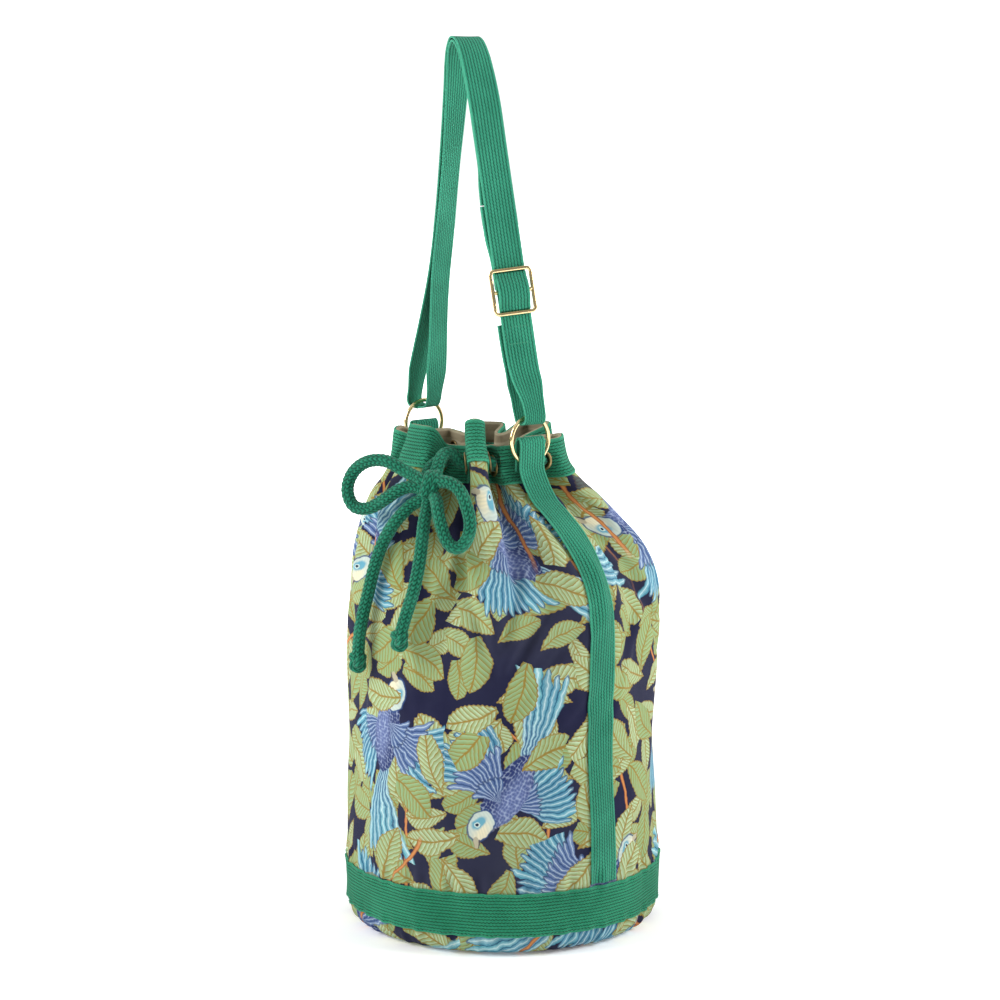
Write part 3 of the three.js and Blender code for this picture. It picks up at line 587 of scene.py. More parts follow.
def webbing_material(name="green_webbing", width=WEBBING_WIDTH, light=(0.031, 0.265, 0.160)):
    """Ribbed webbing: columns of dashes between ribs, painted dark as shade in the grooves, with
    painted shade in the knit's hollows and a painted highlight along both edges; u runs across it and
    v along it, in mm.
    """
    made, shader, principled = material(name, roughness=0.9)
    soft_surface(principled, 0.05)
    u, v = shader.uv()
    wander = shader.noise(0.35, 2.0, shader.vector(u, v))
    column = (u + wander * 0.45) / 2.5
    off = (column.fraction() - 0.5).abs()
    groove = off.step(0.19, 0.36)
    odd = (column * 0.5).fraction().step(0.49, 0.51)
    row = (v / 2.8 + odd * 0.5 + wander * 0.4).fraction()
    dash = (row - 0.5).abs().step(0.34, 0.20)
    knit = ((v / 1.15 + off * 1.6).fraction() - 0.5).abs() * 2.0
    # Painted shade: the groove dashes, darkened as if shadowed between the ribs.
    shaded_grooves = groove * (dash * 0.88 + 0.12)
    patch = shader.noise(26.0, 3.0)
    fine = shader.noise(1400.0, 2.0)
    # The painted shade colour for the grooves and the knit's hollows.
    deep = tuple(c * 0.07 for c in light)
    soft = tuple(c * 1.30 + 0.006 for c in light)
    colour = shader.mix(patch.step(0.3, 0.75), light, soft)
    # Painted shade in the knit's hollows.
    colour = shader.mix(knit.step(0.45, 1.0) * 0.42, colour, deep)
    colour = shader.mix(shaded_grooves * 0.95, colour, deep)
    # Painted highlight: both edges lightened as if catching light where the webbing rolls over.
    edge = u.abs().step(width / 2 - 1.3, width / 2 - 0.3)
    colour = shader.mix(edge * 0.6, colour, tuple(c * 1.55 + 0.03 for c in light))
    colour = shader.mix(fine.step(0.5, 0.72) * 0.22, colour, tuple(c * 1.7 + 0.02 for c in light))
    shader.plug(principled.inputs["Base Color"], colour)
    height = (0.5 - off) * 0.9 + (1.0 - knit) * 0.6 - shaded_grooves * 0.8 + fine * 0.35
    bump(shader, principled, height, 0.55, 0.9)
    return made


def rope_material():
    made, shader, principled = material("green_rope", roughness=0.92)
    soft_surface(principled, 0.12)
    u, v = shader.uv()
    relief = shader.node("ShaderNodeAttribute", attribute_name="relief").outputs["Fac"]
    relief = Num(shader, relief)
    strand = ((u * 3.0 + v * 7.5).sin() * 0.5 + 0.5)
    fluff = shader.noise(900.0, 3.0)
    patch = shader.noise(40.0, 2.0)
    # Painted shade: the braid is darker where its relief is low, as if shadowed in the hollows
    # between strands.
    colour = shader.mix(relief.step(0.15, 0.85), (0.002, 0.045, 0.026), (0.014, 0.200, 0.112))
    colour = shader.mix(strand * 0.25, colour, (0.006, 0.110, 0.060))
    colour = shader.mix(patch.step(0.45, 0.8) * 0.3, colour, (0.060, 0.33, 0.205))
    colour = shader.mix(fluff.step(0.55, 0.75) * 0.3, colour, (0.090, 0.40, 0.26))
    shader.plug(principled.inputs["Base Color"], colour)
    bump(shader, principled, strand * 0.4 + fluff * 0.8, 0.4, 0.7)
    return made


def metal(name, colour, rough, wear_colour, wear):
    made, shader, principled = material(name, colour, rough, 1.0)
    cloudy = shader.noise(120.0, 4.0)
    scratch = shader.noise(
        1.0, 3.0, shader.vector(shader.uv()[0] * 40.0, shader.uv()[1] * 0.6)
    )
    spots = shader.noise(700.0, 2.0).step(0.58, 0.72)
    tone = shader.mix(cloudy.step(0.35, 0.75) * wear, colour, wear_colour)
    shader.plug(principled.inputs["Base Color"], shader.mix(spots * wear * 0.6, tone, wear_colour))
    shader.plug(principled.inputs["Roughness"], cloudy * 0.18 + scratch * 0.12 + (rough - 0.1))
    bump(shader, principled, scratch + spots * 0.4, 0.03, 0.35)
    return made


def lining_material():
    made, shader, principled = material("lining_tape", roughness=0.9)
    soft_surface(principled, 0.03)
    u, v = shader.uv()
    weave = (u * 5.2).sin() * (v * 5.2).sin()
    layer = ((u * 2.4).sin() * 0.5 + 0.5).step(0.45, 0.75)
    colour = shader.mix(layer * 0.5, (0.36, 0.31, 0.21), (0.12, 0.085, 0.045))
    colour = shader.mix(shader.noise(40.0, 3.0).step(0.4, 0.8) * 0.35, colour, (0.34, 0.33, 0.22))
    shader.plug(principled.inputs["Base Color"], colour)
    bump(shader, principled, weave + shader.noise(800.0, 2.0), 0.25, 0.6)
    return made


def stitch_material():
    made, shader, principled = material("stitch_thread", roughness=0.75)
    tone = shader.noise(300.0, 2.0)
    shader.plug(
        principled.inputs["Base Color"], shader.mix(tone, (0.030, 0.20, 0.115), (0.075, 0.34, 0.21))
    )
    bump(shader, principled, shader.noise(2500.0, 1.0), 0.08, 0.5)
    return made


PRINT = printed_cotton()
WEB = webbing_material()
BAND = webbing_material("green_base_band", BASE_BAND_HEIGHT, (0.020, 0.240, 0.125))
RIM = webbing_material("green_rim_band", RIM_BAND_HEIGHT, (0.028, 0.250, 0.140))
CORD = rope_material()
LINING = lining_material()
THREAD = stitch_material()
GOLD = metal("gold_hardware", (0.95, 0.74, 0.40), 0.16, (0.62, 0.42, 0.18), 0.22)
BRASS = metal("eyelet_brass", (0.50, 0.36, 0.17), 0.36, (0.17, 0.11, 0.05), 0.7)

# ---------------------------------------------------------------- the gathered sack


def walk_of_cloth():
    """The cloth's steps round the sack: length, turn, and fold, as in the part."""
    walk = []

    def flank(fold, sign):
        for i in range(STEPS):
            phase = math.pi * (i + 0.5) / STEPS
            turn = math.sin(phase) * (1 + 0.5 * math.cos(phase) ** 2)
            walk.append((0.5 / STEPS, sign * turn, fold))

    def flat(fold, length):
        walk.extend([(length / 4, 0.0, fold)] * 4)

    for fold in range(FOLDS + 1):
        k = fold % FOLDS
        if fold > 0:
            if k == TIED_VALLEY:
                flat(k, FRONT_VALLEY_FLAT)
            flank(k, 1)
        if CRESTS[k][0]:
            flat(k, CRESTS[k][0] / 2 if k == 0 else CRESTS[k][0])
        if fold < FOLDS:
            flank(k, -1)
    return np.array(walk)


WALK = walk_of_cloth()
WALK_LENGTH = WALK[:, 0].sum()
STARTS = np.concatenate([[0], np.cumsum(WALK[:, 0])]) / WALK_LENGTH
BACK_END = int(np.nonzero((WALK[:, 2] == FOLDS // 2) & (WALK[:, 1] == 0))[0][0]) + 2
LEFT_SEAM = STARTS[BACK_END]
FLANK_PLACE = 0.25 / WALK_LENGTH


def gathered(strength):
    """Angle round the sack and depth, 0 in a valley to 1 on a crest, at every step's start."""
    turn = strength * WALK[:, 1]
    along = np.concatenate([[0], np.cumsum(WALK[:, 0] * np.cos(turn))])
    rise = np.concatenate([[0], np.cumsum(WALK[:, 0] * np.sin(turn))])
    low, high = rise.min(), rise.max()
    back = along[BACK_END]
    front = along[-1] - back
    index = np.arange(len(along))
    angle = np.where(
        index <= BACK_END, math.pi * along / back, math.pi * (1 + (along - back) / front)
    )
    depth = (rise - low) / (high - low) if high - low > 1e-9 else np.ones(len(along))
    return angle, depth, math.pi * (high - low) / along[-1]


OUTLINE = Path(
    [
        (124.2, 0, 15), (125.6, 0, 52), (124.5, 0, 95), (121.6, 0, 160), (121.4, 0, 225),
        (119.5, 0, 268), (112.5, 0, 297), (102, 0, 321), (88, 0, 343), (74, 0, 358),
        (65, 0, 372), (62, 0, 395),
    ]
)


def outline_radius(height):
    """The ungathered sack's radius at a height."""
    return np.interp(height, OUTLINE.points[:, 2], OUTLINE.points[:, 0])


def cloth_length(height):
    """Length up the cloth from the bottom of the panels to a height."""
    return np.interp(height, OUTLINE.points[:, 2], OUTLINE.along)


FULL_DEPTH = gathered(FOLD_TURN)[1]


def raw_cloth(place, height):
    """Points of the gathered cloth before its soft relief, at places round it and a height."""
    place = np.asarray(place, float) % 1.0
    strength = FOLD_TURN * float(smooth(height, 258, 372))
    angle, depth, sweep = gathered(strength)
    i = np.clip(np.searchsorted(STARTS, place, side="right") - 1, 0, len(WALK) - 1)
    t = (place - STARTS[i]) / (STARTS[i + 1] - STARTS[i])
    around = lerp(angle[i], angle[i + 1], t)
    crest = lerp(depth[i], depth[i + 1], t)
    _, lift, lean, reach = CRESTS[WALK[i, 2].astype(int)].T
    outline = float(outline_radius(height))
    mean = outline / (1 + sweep)
    gather = float(smooth(height, 285, 385))
    edge = float(smooth(height, 340, RIM_HEIGHT + 10))
    full = crest * crest * (3 - 2 * crest)
    radius = lerp(2 * mean - outline, outline, crest) + full * (reach * gather - lean * edge)
    z = height + gather * (full * lift - (1 - crest) * VALLEY_DROP)
    shift = float(smooth(height, 262, RIM_HEIGHT))
    return np.stack(
        [radius * np.cos(around) + MOUTH[0] * shift, radius * np.sin(around) + MOUTH[1] * shift, z],
        axis=-1,
    )


def outwards(place, height):
    """The cloth's outward direction at each place."""
    step = 4e-4
    place = np.asarray(place, float)
    around = raw_cloth(place + step, height) - raw_cloth(place - step, height)
    up = raw_cloth(place, height + 0.5) - raw_cloth(place, height - 0.5)
    return unit(np.cross(around, up))


def eyelet_seats():
    """Each eyelet's centre, its axis, and whether it is on a valley's rising side."""
    def seat(valley, side):
        rises = (WALK[:, 2] == valley) & (WALK[:, 1] > 0)
        start = STARTS[int(np.nonzero(rises)[0][0])]
        wide = FRONT_VALLEY_FLAT if valley == TIED_VALLEY else 0
        place = start + FLANK_PLACE if side > 0 else start - wide / WALK_LENGTH - FLANK_PLACE
        crest = CRESTS[valley if side > 0 else (valley - 1) % FOLDS]
        height = EYELET_HEIGHT - EYELET_LEVELLING * crest[1]
        centre = raw_cloth([place], height)[0]
        return centre, outwards([place], height)[0], side > 0

    seats = [seat(TIED_VALLEY, 1)]
    for valley in range(TIED_VALLEY):
        seats += [seat(valley, -1), seat(valley, 1)]
    seats.append(seat(TIED_VALLEY, -1))
    return seats


SEATS = eyelet_seats()


# Soft creases: place round the cloth, height, lean, half length, half width and depth.
CREASES = [
    (0.907, 278, 0.35, 56, 6.0, 3.4),
    (0.866, 264, -0.35, 50, 6.0, 2.8),
    (0.925, 250, 0.75, 40, 4.5, 2.2),
    (0.835, 268, 0.25, 44, 5.5, 2.2),
    (0.775, 250, -0.2, 48, 6.0, 2.0),
    (0.945, 228, 0.9, 42, 5.0, 1.9),
    (0.965, 180, 1.1, 36, 6.0, 1.2),
    (0.725, 210, 0.35, 50, 6.0, 1.6),
    (0.66, 250, -0.3, 46, 6.0, 2.0),
    (0.58, 238, 0.4, 44, 6.0, 2.0),
    (0.43, 252, -0.5, 44, 6.0, 2.2),
    (0.36, 230, 0.3, 48, 6.0, 2.0),
    (0.27, 255, -0.3, 44, 6.0, 2.2),
    (0.19, 236, 0.4, 46, 6.0, 2.0),
    (0.10, 250, -0.6, 40, 5.5, 2.2),
    (0.045, 232, 0.6, 44, 5.0, 2.0),
    (0.88, 120, 1.3, 34, 7.0, 0.9),
    (0.80, 150, -1.2, 38, 7.0, 0.9),
]


CREASE_DEPTH = 1.45


def relief(place, height):
    """How far the soft cloth stands proud of its even shape, in millimetres."""
    place = np.asarray(place, float) % 1.0
    turn = 2 * math.pi * place
    depth = np.interp(place, STARTS, FULL_DEPTH)
    h = float(height)
    below_fold = float(smooth(h, 120, 268) * (1 - smooth(h, 285, 335)))
    out = (depth - 0.55) * 8.5 * below_fold
    body = float(smooth(h, 40, 130) * (1 - smooth(h, 300, 350)))
    out = out + body * (
        1.1 * np.sin(3 * turn + h / 46.0) + 1.0 * np.sin(7 * turn - h / 61.0 + 1.3)
        + 0.75 * np.sin(13 * turn + h / 38.0 + 0.5) + 0.5 * np.sin(21 * turn - h / 27.0)
    )
    gathers = float(smooth(h, 215, 300) * (1 - smooth(h, 326, 354)))
    drift = 0.9 * math.sin(h / 33.0)
    out = out + gathers * (
        1.25 * np.sin(29 * turn + 0.7 + drift) + 0.85 * np.sin(43 * turn + 2.1 - 1.4 * drift)
    )
    pucker = 1.0 * math.exp(-(((h - 56) / 9) ** 2)) + 0.8 * math.exp(-(((h - 14) / 8) ** 2))
    out = out + pucker * (np.sin(41 * turn + 1.1) + 0.7 * np.sin(67 * turn + 2.0))
    band = math.exp(-(((h - 34) / 20) ** 2))
    out = out + band * (0.8 * np.sin(9 * turn + 0.4) + 0.45 * np.sin(17 * turn + h / 11))
    for at, level, lean, long, wide, deep in CREASES:
        deep = CREASE_DEPTH * deep
        across = ((place - at + 0.5) % 1.0 - 0.5) * ROUND_MM
        up = h - level
        size = math.hypot(1, lean)
        off = (across - lean * up) / size
        along = (up + lean * across) / size
        out = out - deep * np.exp(-((off / wide) ** 2) - (along / long) ** 2)
        out = out + 0.45 * deep * np.exp(-(((off - 1.7 * wide) / wide) ** 2) - (along / long) ** 2)
    # the cloth lies in behind the hanging rope ends
    behind = np.exp(-(((place - 0.767) / 0.05) ** 4)) * float(smooth(h, 190, 225))
    return np.where(out > 0.2, lerp(out, 0.2, behind), out)


def cloth(place, height, layer):
    """Points of the cloth, or of a layer `layer` millimetres outside it, pressed flat at eyelets."""
    place = np.asarray(place, float)
    normal = outwards(place, height)
    even = raw_cloth(place, height)
    p = even + normal * (layer + relief(place, height))[:, None]
    if height < 340:
        return p
    for centre, axis, _ in SEATS:
        away = even - centre
        off = away @ axis
        near = (np.linalg.norm(away, axis=1) <= EYELET_FLANGE) & (normal @ axis >= 0.1)
        across = np.sqrt(np.maximum(np.sum(away * away, axis=1) - off * off, 0))
        press = (1 - smooth(across, EYELET_FLANGE * 0.64, EYELET_FLANGE * 0.98)) * near
        now = (p - centre) @ axis
        p = p + axis * ((layer - now) * press)[:, None]
    return p


def cloth_rows(places, profile):
    """Rows of cloth points: one for each (layer, height) of a profile."""
    return np.array([cloth(places, height, layer) for layer, height in profile])


EYELET_HOLE = 6.9  # the cloth's hole, hidden under the flange


def clear_of_eyelets(points, faces):
    """Which faces are not in an eyelet's hole."""
    middle = points[faces].mean(axis=1)
    keep = np.ones(len(faces), bool)
    for centre, axis, _ in SEATS:
        away = middle - centre
        off = away @ axis
        across = np.sqrt(np.maximum(np.sum(away * away, axis=1) - off * off, 0))
        keep &= ~((across < EYELET_HOLE) & (np.abs(off) < 7))
    return keep


CLOTH_ROW = 1.9  # the cloth grid's spacing at fineness 1
CLOTH_COLUMN = 0.9


def even_heights(low, high, step):
    """Heights that divide the cloth into even lengths."""
    lengths = np.linspace(cloth_length(low), cloth_length(high), int((high - low) / step) + 2)
    return np.interp(lengths, OUTLINE.along, OUTLINE.points[:, 2])


def cloth_sheet(name, start, end, layer, fine, fabric):
    """One layer of cloth between two places, from the bottom to the mouth's edge."""
    heights = even_heights(PANEL_LOW, RIM_HEIGHT - 0.4, CLOTH_ROW * fine)
    places = np.linspace(start, end, int((end - start) * ROUND_MM / (CLOTH_COLUMN * fine)))
    rows = cloth_rows(places, [(layer, h) for h in heights])
    u, v = np.meshgrid(places * ROUND_MM, cloth_length(heights))
    faces = grid_faces(len(heights), len(places))
    points = rows.reshape(-1, 3)
    keep = clear_of_eyelets(points, faces)
    piece = make_mesh(name, points, faces, uv_pairs(u, v), keep, fabric)
    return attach(piece, "bag")


def ring_of_cloth(name, profile, material_, across):
    """A closed band all the way round: its section is the loop of (layer, height) in profile."""
    count = 1000
    places = np.arange(count) / count
    rows = cloth_rows(places, profile)
    # the first column comes again at the seam, so that the length can run on in the UV
    rows = np.concatenate([rows, rows[:, :1]], axis=1)
    u = np.repeat(np.asarray(across, float)[:, None], count + 1, axis=1)
    v = np.repeat(np.linspace(0, ROUND_MM, count + 1)[None, :], len(profile), axis=0)
    faces = grid_faces(len(profile), count + 1, wrap_rows=True)
    points = rows.reshape(-1, 3)
    keep = clear_of_eyelets(points, faces)
    piece = make_mesh(name, points, faces, uv_pairs(u, v), keep, material_)
    weld(piece, 0.02)
    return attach(piece, "bag")


def section_loop(inner, outer, low, high, rows):
    """A flat band's section as (layer, height), with rounded edges."""
    middle, half = (inner + outer) / 2, (outer - inner) / 2
    heights = np.linspace(low + half, high - half, rows)
    loop = [(outer, h) for h in heights]
    turns = np.linspace(0, math.pi, 5)[1:-1]
    loop += [(middle + half * math.cos(t), high - half + half * math.sin(t)) for t in turns]
    loop += [(inner, h) for h in heights[::-1]]
    loop += [(middle - half * math.cos(t), low + half - half * math.sin(t)) for t in turns]
    return loop


def build_panel(side, start, end):
    """One printed panel, between two seams."""
    panel = cloth_sheet(f"{side}_cloth", start, end, 0.0, 1.0, PRINT)
    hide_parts(f"{side}_panel")


def build_lining():
    """The cloth's inner face."""
    lining = cloth_sheet("lining_cloth", 0.0, 1.0, -CLOTH, 2.6, LINING)


def build_rim():
    """The webbing round the mouth, and the tape inside it with its folded edge."""
    loop = section_loop(GAP, GAP + WEBBING, RIM_HEIGHT - RIM_BAND_HEIGHT, RIM_HEIGHT + 0.6, 22)
    across = [h - RIM_HEIGHT + RIM_BAND_HEIGHT / 2 for _, h in loop]
    band = ring_of_cloth("rim_band_webbing", loop, RIM, across)
    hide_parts("rim_band")

    low = RIM_HEIGHT - RIM_BAND_HEIGHT
    inner = -CLOTH - GAP - FACING
    loop = [(-CLOTH - GAP, h) for h in np.linspace(low, RIM_HEIGHT - 6, 12)]
    loop += [(0.05, RIM_HEIGHT - 4), (0.05, RIM_HEIGHT + 0.3), (-1.0, RIM_HEIGHT + 0.9)]
    loop += [(inner, h) for h in np.linspace(RIM_HEIGHT + 0.3, low, 14)]
    across = [layer * 3 + h * 0.2 for layer, h in loop]
    facing = ring_of_cloth("rim_facing_tape", loop, LINING, across)
    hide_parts("rim_facing")


def build_base_band():
    """The wide webbing round the bottom of the sack."""
    loop = section_loop(GAP, GAP + WEBBING, BASE_BAND_LOW, BASE_BAND_LOW + BASE_BAND_HEIGHT, 24)
    across = [h - BASE_BAND_LOW - BASE_BAND_HEIGHT / 2 for _, h in loop]
    band = ring_of_cloth("base_band_webbing", loop, BAND, across)
    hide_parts("base_band")


TUCK_STEPS = 16
TUCK_LENGTH = 20.0


def build_base():
    """The cloth below the band, tucked under to the flat round bottom."""
    count = 720
    places = np.linspace(0, 1, count + 1)
    turn = 2 * math.pi * places
    top_radius = float(outline_radius(PANEL_LOW))
    rows = []
    lengths = []
    for k in range(TUCK_STEPS + 1):
        down = k / TUCK_STEPS
        bend = math.pi / 2 * (1 - down)
        radius = BASE_FLAT_RADIUS + (top_radius - BASE_FLAT_RADIUS) * math.sin(bend)
        z = (PANEL_LOW + 0.4) * (1 - math.cos(bend))
        tuck = math.sin(math.pi * down)
        pucker = tuck * (0.8 * np.sin(59 * turn) + 0.5 * np.sin(97 * turn + 1.0) - 0.3)
        ease = relief(places, PANEL_LOW) * (1 - down)
        r = radius + pucker + ease
        rows.append(np.stack([r * np.cos(turn), r * np.sin(turn), np.full(count + 1, z)], axis=-1))
        lengths.append(-TUCK_LENGTH * down)
    u, v = np.meshgrid(places * ROUND_MM, lengths)
    skirt = make_mesh(
        "base_cloth", np.array(rows).reshape(-1, 3), grid_faces(TUCK_STEPS + 1, count + 1),
        uv_pairs(u, v), None, PRINT,
    )
    radii = np.concatenate([np.linspace(110.6, 106, 5), np.linspace(100, 0.5, 24)])
    columns = 181
    turns = np.linspace(0, 2 * math.pi, columns)
    rows = []
    for radius in radii:
        z = 0.05 + 0.9 * math.exp(-(((radius - 108.5) / 0.9) ** 2)) + 0.35 * (radius < 104)
        flat = [radius * np.cos(turns), radius * np.sin(turns), np.full(columns, z)]
        rows.append(np.stack(flat, axis=-1))
    points = np.array(rows).reshape(-1, 3)
    disc = make_mesh(
        "base_disc", points, grid_faces(len(radii), columns), points[:, :2] + 300.0, None, PRINT
    )
    base = join([skirt, disc], "base_cloth")
    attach(base, "bag")
    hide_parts("base_panel")


# ---------------------------------------------------------------- webbing


def tape_section(width, thick, rows=22):
    """A tape's section: positions across and through it, as a closed loop with soft edges."""
    half = thick / 2
    xs = np.linspace(-width / 2 + half, width / 2 - half, rows)
    turns = np.linspace(0, math.pi, 5)[1:-1]
    loop = [(x, half) for x in xs]
    loop += [(width / 2 - half + half * math.sin(t), half * math.cos(t)) for t in turns]
    loop += [(x, -half) for x in xs[::-1]]
    loop += [(-width / 2 + half - half * math.sin(t), -half * math.cos(t)) for t in turns]
    return np.array(loop)


def tape(name, points, side, face, widths, along, body, wave=0.0):
    """Webbing along points: side is its width direction and face its outer side at each."""
    shape = tape_section(1.0, WEBBING / WEBBING_WIDTH)
    rows = []
    for i, p in enumerate(points):
        width = widths[i]
        x = shape[:, 0] * width
        z = shape[:, 1] * WEBBING_WIDTH
        curl = wave * np.sin(along[i] / 17.0) * (x / width) * 2 if wave else 0.0
        rows.append(p + np.outer(x, side[i]) + np.outer(z + curl, face[i]))
    u = np.repeat((shape[:, 0] * WEBBING_WIDTH)[None, :], len(points), axis=0)
    v = np.repeat(np.asarray(along)[:, None], len(shape), axis=1)
    grid = np.array(rows).reshape(-1, 3)
    faces = grid_faces(len(points), len(shape), wrap_columns=True)
    piece = make_mesh(name, grid, faces, uv_pairs(u, v), None, WEB)
    cap_ends(piece)
    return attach(piece, body)


def ring_centre(side):
    """Where the ring hangs, right for side 1 and left for side -1."""
    x = MOUTH[0] + side * (float(outline_radius(RIM_HEIGHT)) + 6.2)
    return np.array([x, MOUTH[1], RING_HEIGHT])


RIGHT_RING = ring_centre(1)
LEFT_RING = ring_centre(-1)
RING_RADIUS = (RING_OUTSIDE - RING_WIRE) / 2


def side_strip(name, side, place):
    """The strip up a side seam: it lies on the cloth, then folds over inside its ring."""
    centre = ring_centre(side)
    levels = [53, 120, 190, 245, 275, 300, 322, 340, 352]
    points = [cloth([place], h, 1.2)[0] for h in levels]
    off = RING_WIRE / 2 + GAP + 0.2
    outer, inner = centre[0] + side * off, centre[0] - side * off
    points += [(outer, centre[1], RING_HEIGHT - d) for d in (24, 13, 1)]
    points.append((centre[0], centre[1], RING_HEIGHT + 1.6))
    points += [(inner, centre[1], RING_HEIGHT - d) for d in (1, 13, 24)]
    path = Path(points)
    along = np.concatenate([np.arange(0, path.length, 1.5), [path.length]])
    middle = path.at(along)
    tangent = path.tangent(along)
    across = square_to(np.array([0.0, side, 0.0]) + 0 * tangent, tangent)
    face = np.cross(across, tangent)
    levels_here = np.interp(path.place(along), np.arange(len(levels)), levels)
    shape = tape_section(WEBBING_WIDTH, WEBBING)
    rows = []
    for i in range(len(along)):
        free = middle[i] + np.outer(shape[:, 0], across[i]) + np.outer(shape[:, 1] + 0.75, face[i])
        settle = float(smooth(levels_here[i], 296, 340))
        if settle < 1:
            places = place + side * shape[:, 0] / ROUND_MM
            on = np.concatenate(
                [cloth([q], levels_here[i], 1.25 + z)[:1] for q, z in zip(places, shape[:, 1])]
            )
            free = lerp(on, free, settle)
        rows.append(free)
    u = np.repeat(shape[:, 0][None, :], len(along), axis=0)
    v = np.repeat(along[:, None], len(shape), axis=1)
    faces = grid_faces(len(along), len(shape), wrap_columns=True)
    grid = np.array(rows).reshape(-1, 3)
    piece = make_mesh(f"side_webbing_{name}", grid, faces, uv_pairs(u, v), None, WEB)
    cap_ends(piece)
    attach(piece, "bag")
    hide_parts(f"side_strip_{name}")
    top = int(np.argmax(along > path.along[np.searchsorted(path.places, len(levels) - 1)]))
    edges = [np.array([row[column] for row in rows[: top - 2]]) for column in (3, 18)]
    stitches(f"side_stitches_{name}", edges, [face[: top - 2]] * 2, "bag")


def stitches(name, lines, normals, body, pitch=3.4, long=2.5, radius=0.24):
    """Sewn lines: short plump threads laid end to end along each line of points."""
    points = []
    faces = []
    around = 6
    rings = np.linspace(-1, 1, 5)
    for line, normal in zip(lines, normals):
        path = Path(line, smooth_curve=False)
        normal = np.asarray(normal)
        for at in np.arange(pitch, path.length - pitch, pitch):
            centre = path.at(at)
            k = int(np.clip(np.searchsorted(path.along, at), 0, len(normal) - 1))
            tangent = path.tangent(at)
            up = unit(square_to(normal[k], tangent))
            side = np.cross(tangent, up)
            first = len(points)
            for ring in rings:
                r = radius * math.sqrt(max(1 - 0.92 * ring * ring, 0))
                lift = 0.12 - 0.22 * ring * ring
                base = centre + tangent * (ring * long / 2) + up * lift
                for k2 in range(around):
                    t = 2 * math.pi * k2 / around
                    points.append(base + side * (r * math.cos(t)) + up * (r * math.sin(t)))
            for i in range(len(rings) - 1):
                for j in range(around):
                    a = first + i * around + j
                    b = first + i * around + (j + 1) % around
                    faces.append((a, b, b + around, a + around))
    piece = make_mesh(name, np.array(points), faces, None, None, THREAD)
    cap_ends(piece)
    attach(piece, body)


# ---------------------------------------------------------------- metal


def tube_along(name, points, closed, section, side_hint, material_, body):
    """A section swept along points; side_hint is square to the path everywhere."""
    p = np.asarray(points, float)
    ahead = np.roll(p, -1, axis=0) - p
    tangent = unit(ahead + (p - np.roll(p, 1, axis=0)))
    hint = np.asarray(side_hint, float) + 0 * p
    up = square_to(hint, tangent)
    side = np.cross(up, tangent)
    section = np.asarray(section, float)
    grid = p[:, None] + section[None, :, :1] * side[:, None] + section[None, :, 1:] * up[:, None]
    steps = np.concatenate([[0], np.cumsum(np.linalg.norm(np.diff(p, axis=0), axis=1))])
    v = np.repeat(steps[:, None], len(section), axis=1)
    u = np.repeat(np.linspace(0, 9, len(section))[None, :], len(p), axis=0)
    faces = grid_faces(len(p), len(section), wrap_rows=closed, wrap_columns=True)
    piece = make_mesh(name, grid.reshape(-1, 3), faces, uv_pairs(u, v), None, material_)
    cap_ends(piece)
    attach(piece, body)
    return piece


def oval(half_wide, half_high, count=20, square=1.0):
    """An oval section; square above 1 flattens its sides."""
    loop = []
    for i in range(count):
        t = 2 * math.pi * i / count
        c, s = math.cos(t), math.sin(t)
        loop.append((
            half_wide * math.copysign(abs(c) ** (1 / square), c),
            half_high * math.copysign(abs(s) ** (1 / square), s),
        ))
    return np.array(loop)


def build_rings():
    for name, centre in (("right", RIGHT_RING), ("left", LEFT_RING)):
        turns = np.linspace(0, 2 * math.pi, 121)[:-1]
        points = centre + RING_RADIUS * np.stack(
            [0 * turns, np.cos(turns), np.sin(turns)], axis=-1
        )
        piece = tube_along(
            f"ring_wire_{name}", points, True, oval(RING_WIRE / 2, RING_WIRE / 2), (1, 0, 0),
            GOLD, f"ring_{name}",
        )
        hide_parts(f"ring_{name}")


def build_eyelets():
    bore, flange = EYELET_BORE / 2, EYELET_FLANGE / 2
    barrel = bore + 0.7
    front, back = EYELET_FRONT, -EYELET_BACK
    roll = [
        (flange - 0.35 + 0.35 * math.sin(t), front + 0.3 - 0.35 * math.cos(t))
        for t in np.linspace(0, math.pi * 0.8, 6)
    ]
    crown = [(bore + 2.0, front + 0.95), (bore + 1.2, front + 1.12), (bore + 0.5, front + 0.95)]
    throat = [(bore, front + 0.4), (bore, 0), (bore, back - 0.4)]
    rim = [
        (bore + 0.4, back - 0.85), (flange - 2.0, back - 0.9), (flange - 0.95, back - 0.75),
        (flange - 0.8, back - 0.4), (flange - 0.95, back), (barrel, back), (barrel, front),
    ]
    profile = np.array(roll + crown + throat + rim)
    count = 56
    turns = 2 * math.pi * np.arange(count) / count
    for i, (centre, axis, _) in enumerate(SEATS):
        across = unit(np.cross((0, 0, 1), axis))
        upward = np.cross(axis, across)
        ring = np.cos(turns)[:, None] * across + np.sin(turns)[:, None] * upward
        grid = centre + profile[None, :, :1] * ring[:, None] + profile[None, :, 1:] * axis
        u, v = np.meshgrid(np.arange(len(profile)) * 0.8, turns * bore)
        piece = make_mesh(
            f"eyelet_ring_{i + 1}", grid.reshape(-1, 3),
            grid_faces(count, len(profile), wrap_rows=True, wrap_columns=True),
            uv_pairs(u, v), None, BRASS,
        )
        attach(piece, "bag")
        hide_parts(f"eyelet_{i + 1}")


# ---------------------------------------------------------------- rope


BRAID_COLUMNS = 8
BRAID_PITCH = 3.9
END_KNOT_ROPE = 8.2
WRAP_ROPE = 9.2


def eased(path, reach):
    """The path with its corners rounded over about `reach` millimetres; its ends stay."""
    points = path.at(np.linspace(0, path.length, int(path.length) + 1))
    for _ in range(int(reach * reach)):
        points[1:-1] += 0.5 * (0.5 * (points[:-2] + points[2:]) - points[1:-1])
    return Path(points, smooth_curve=False)


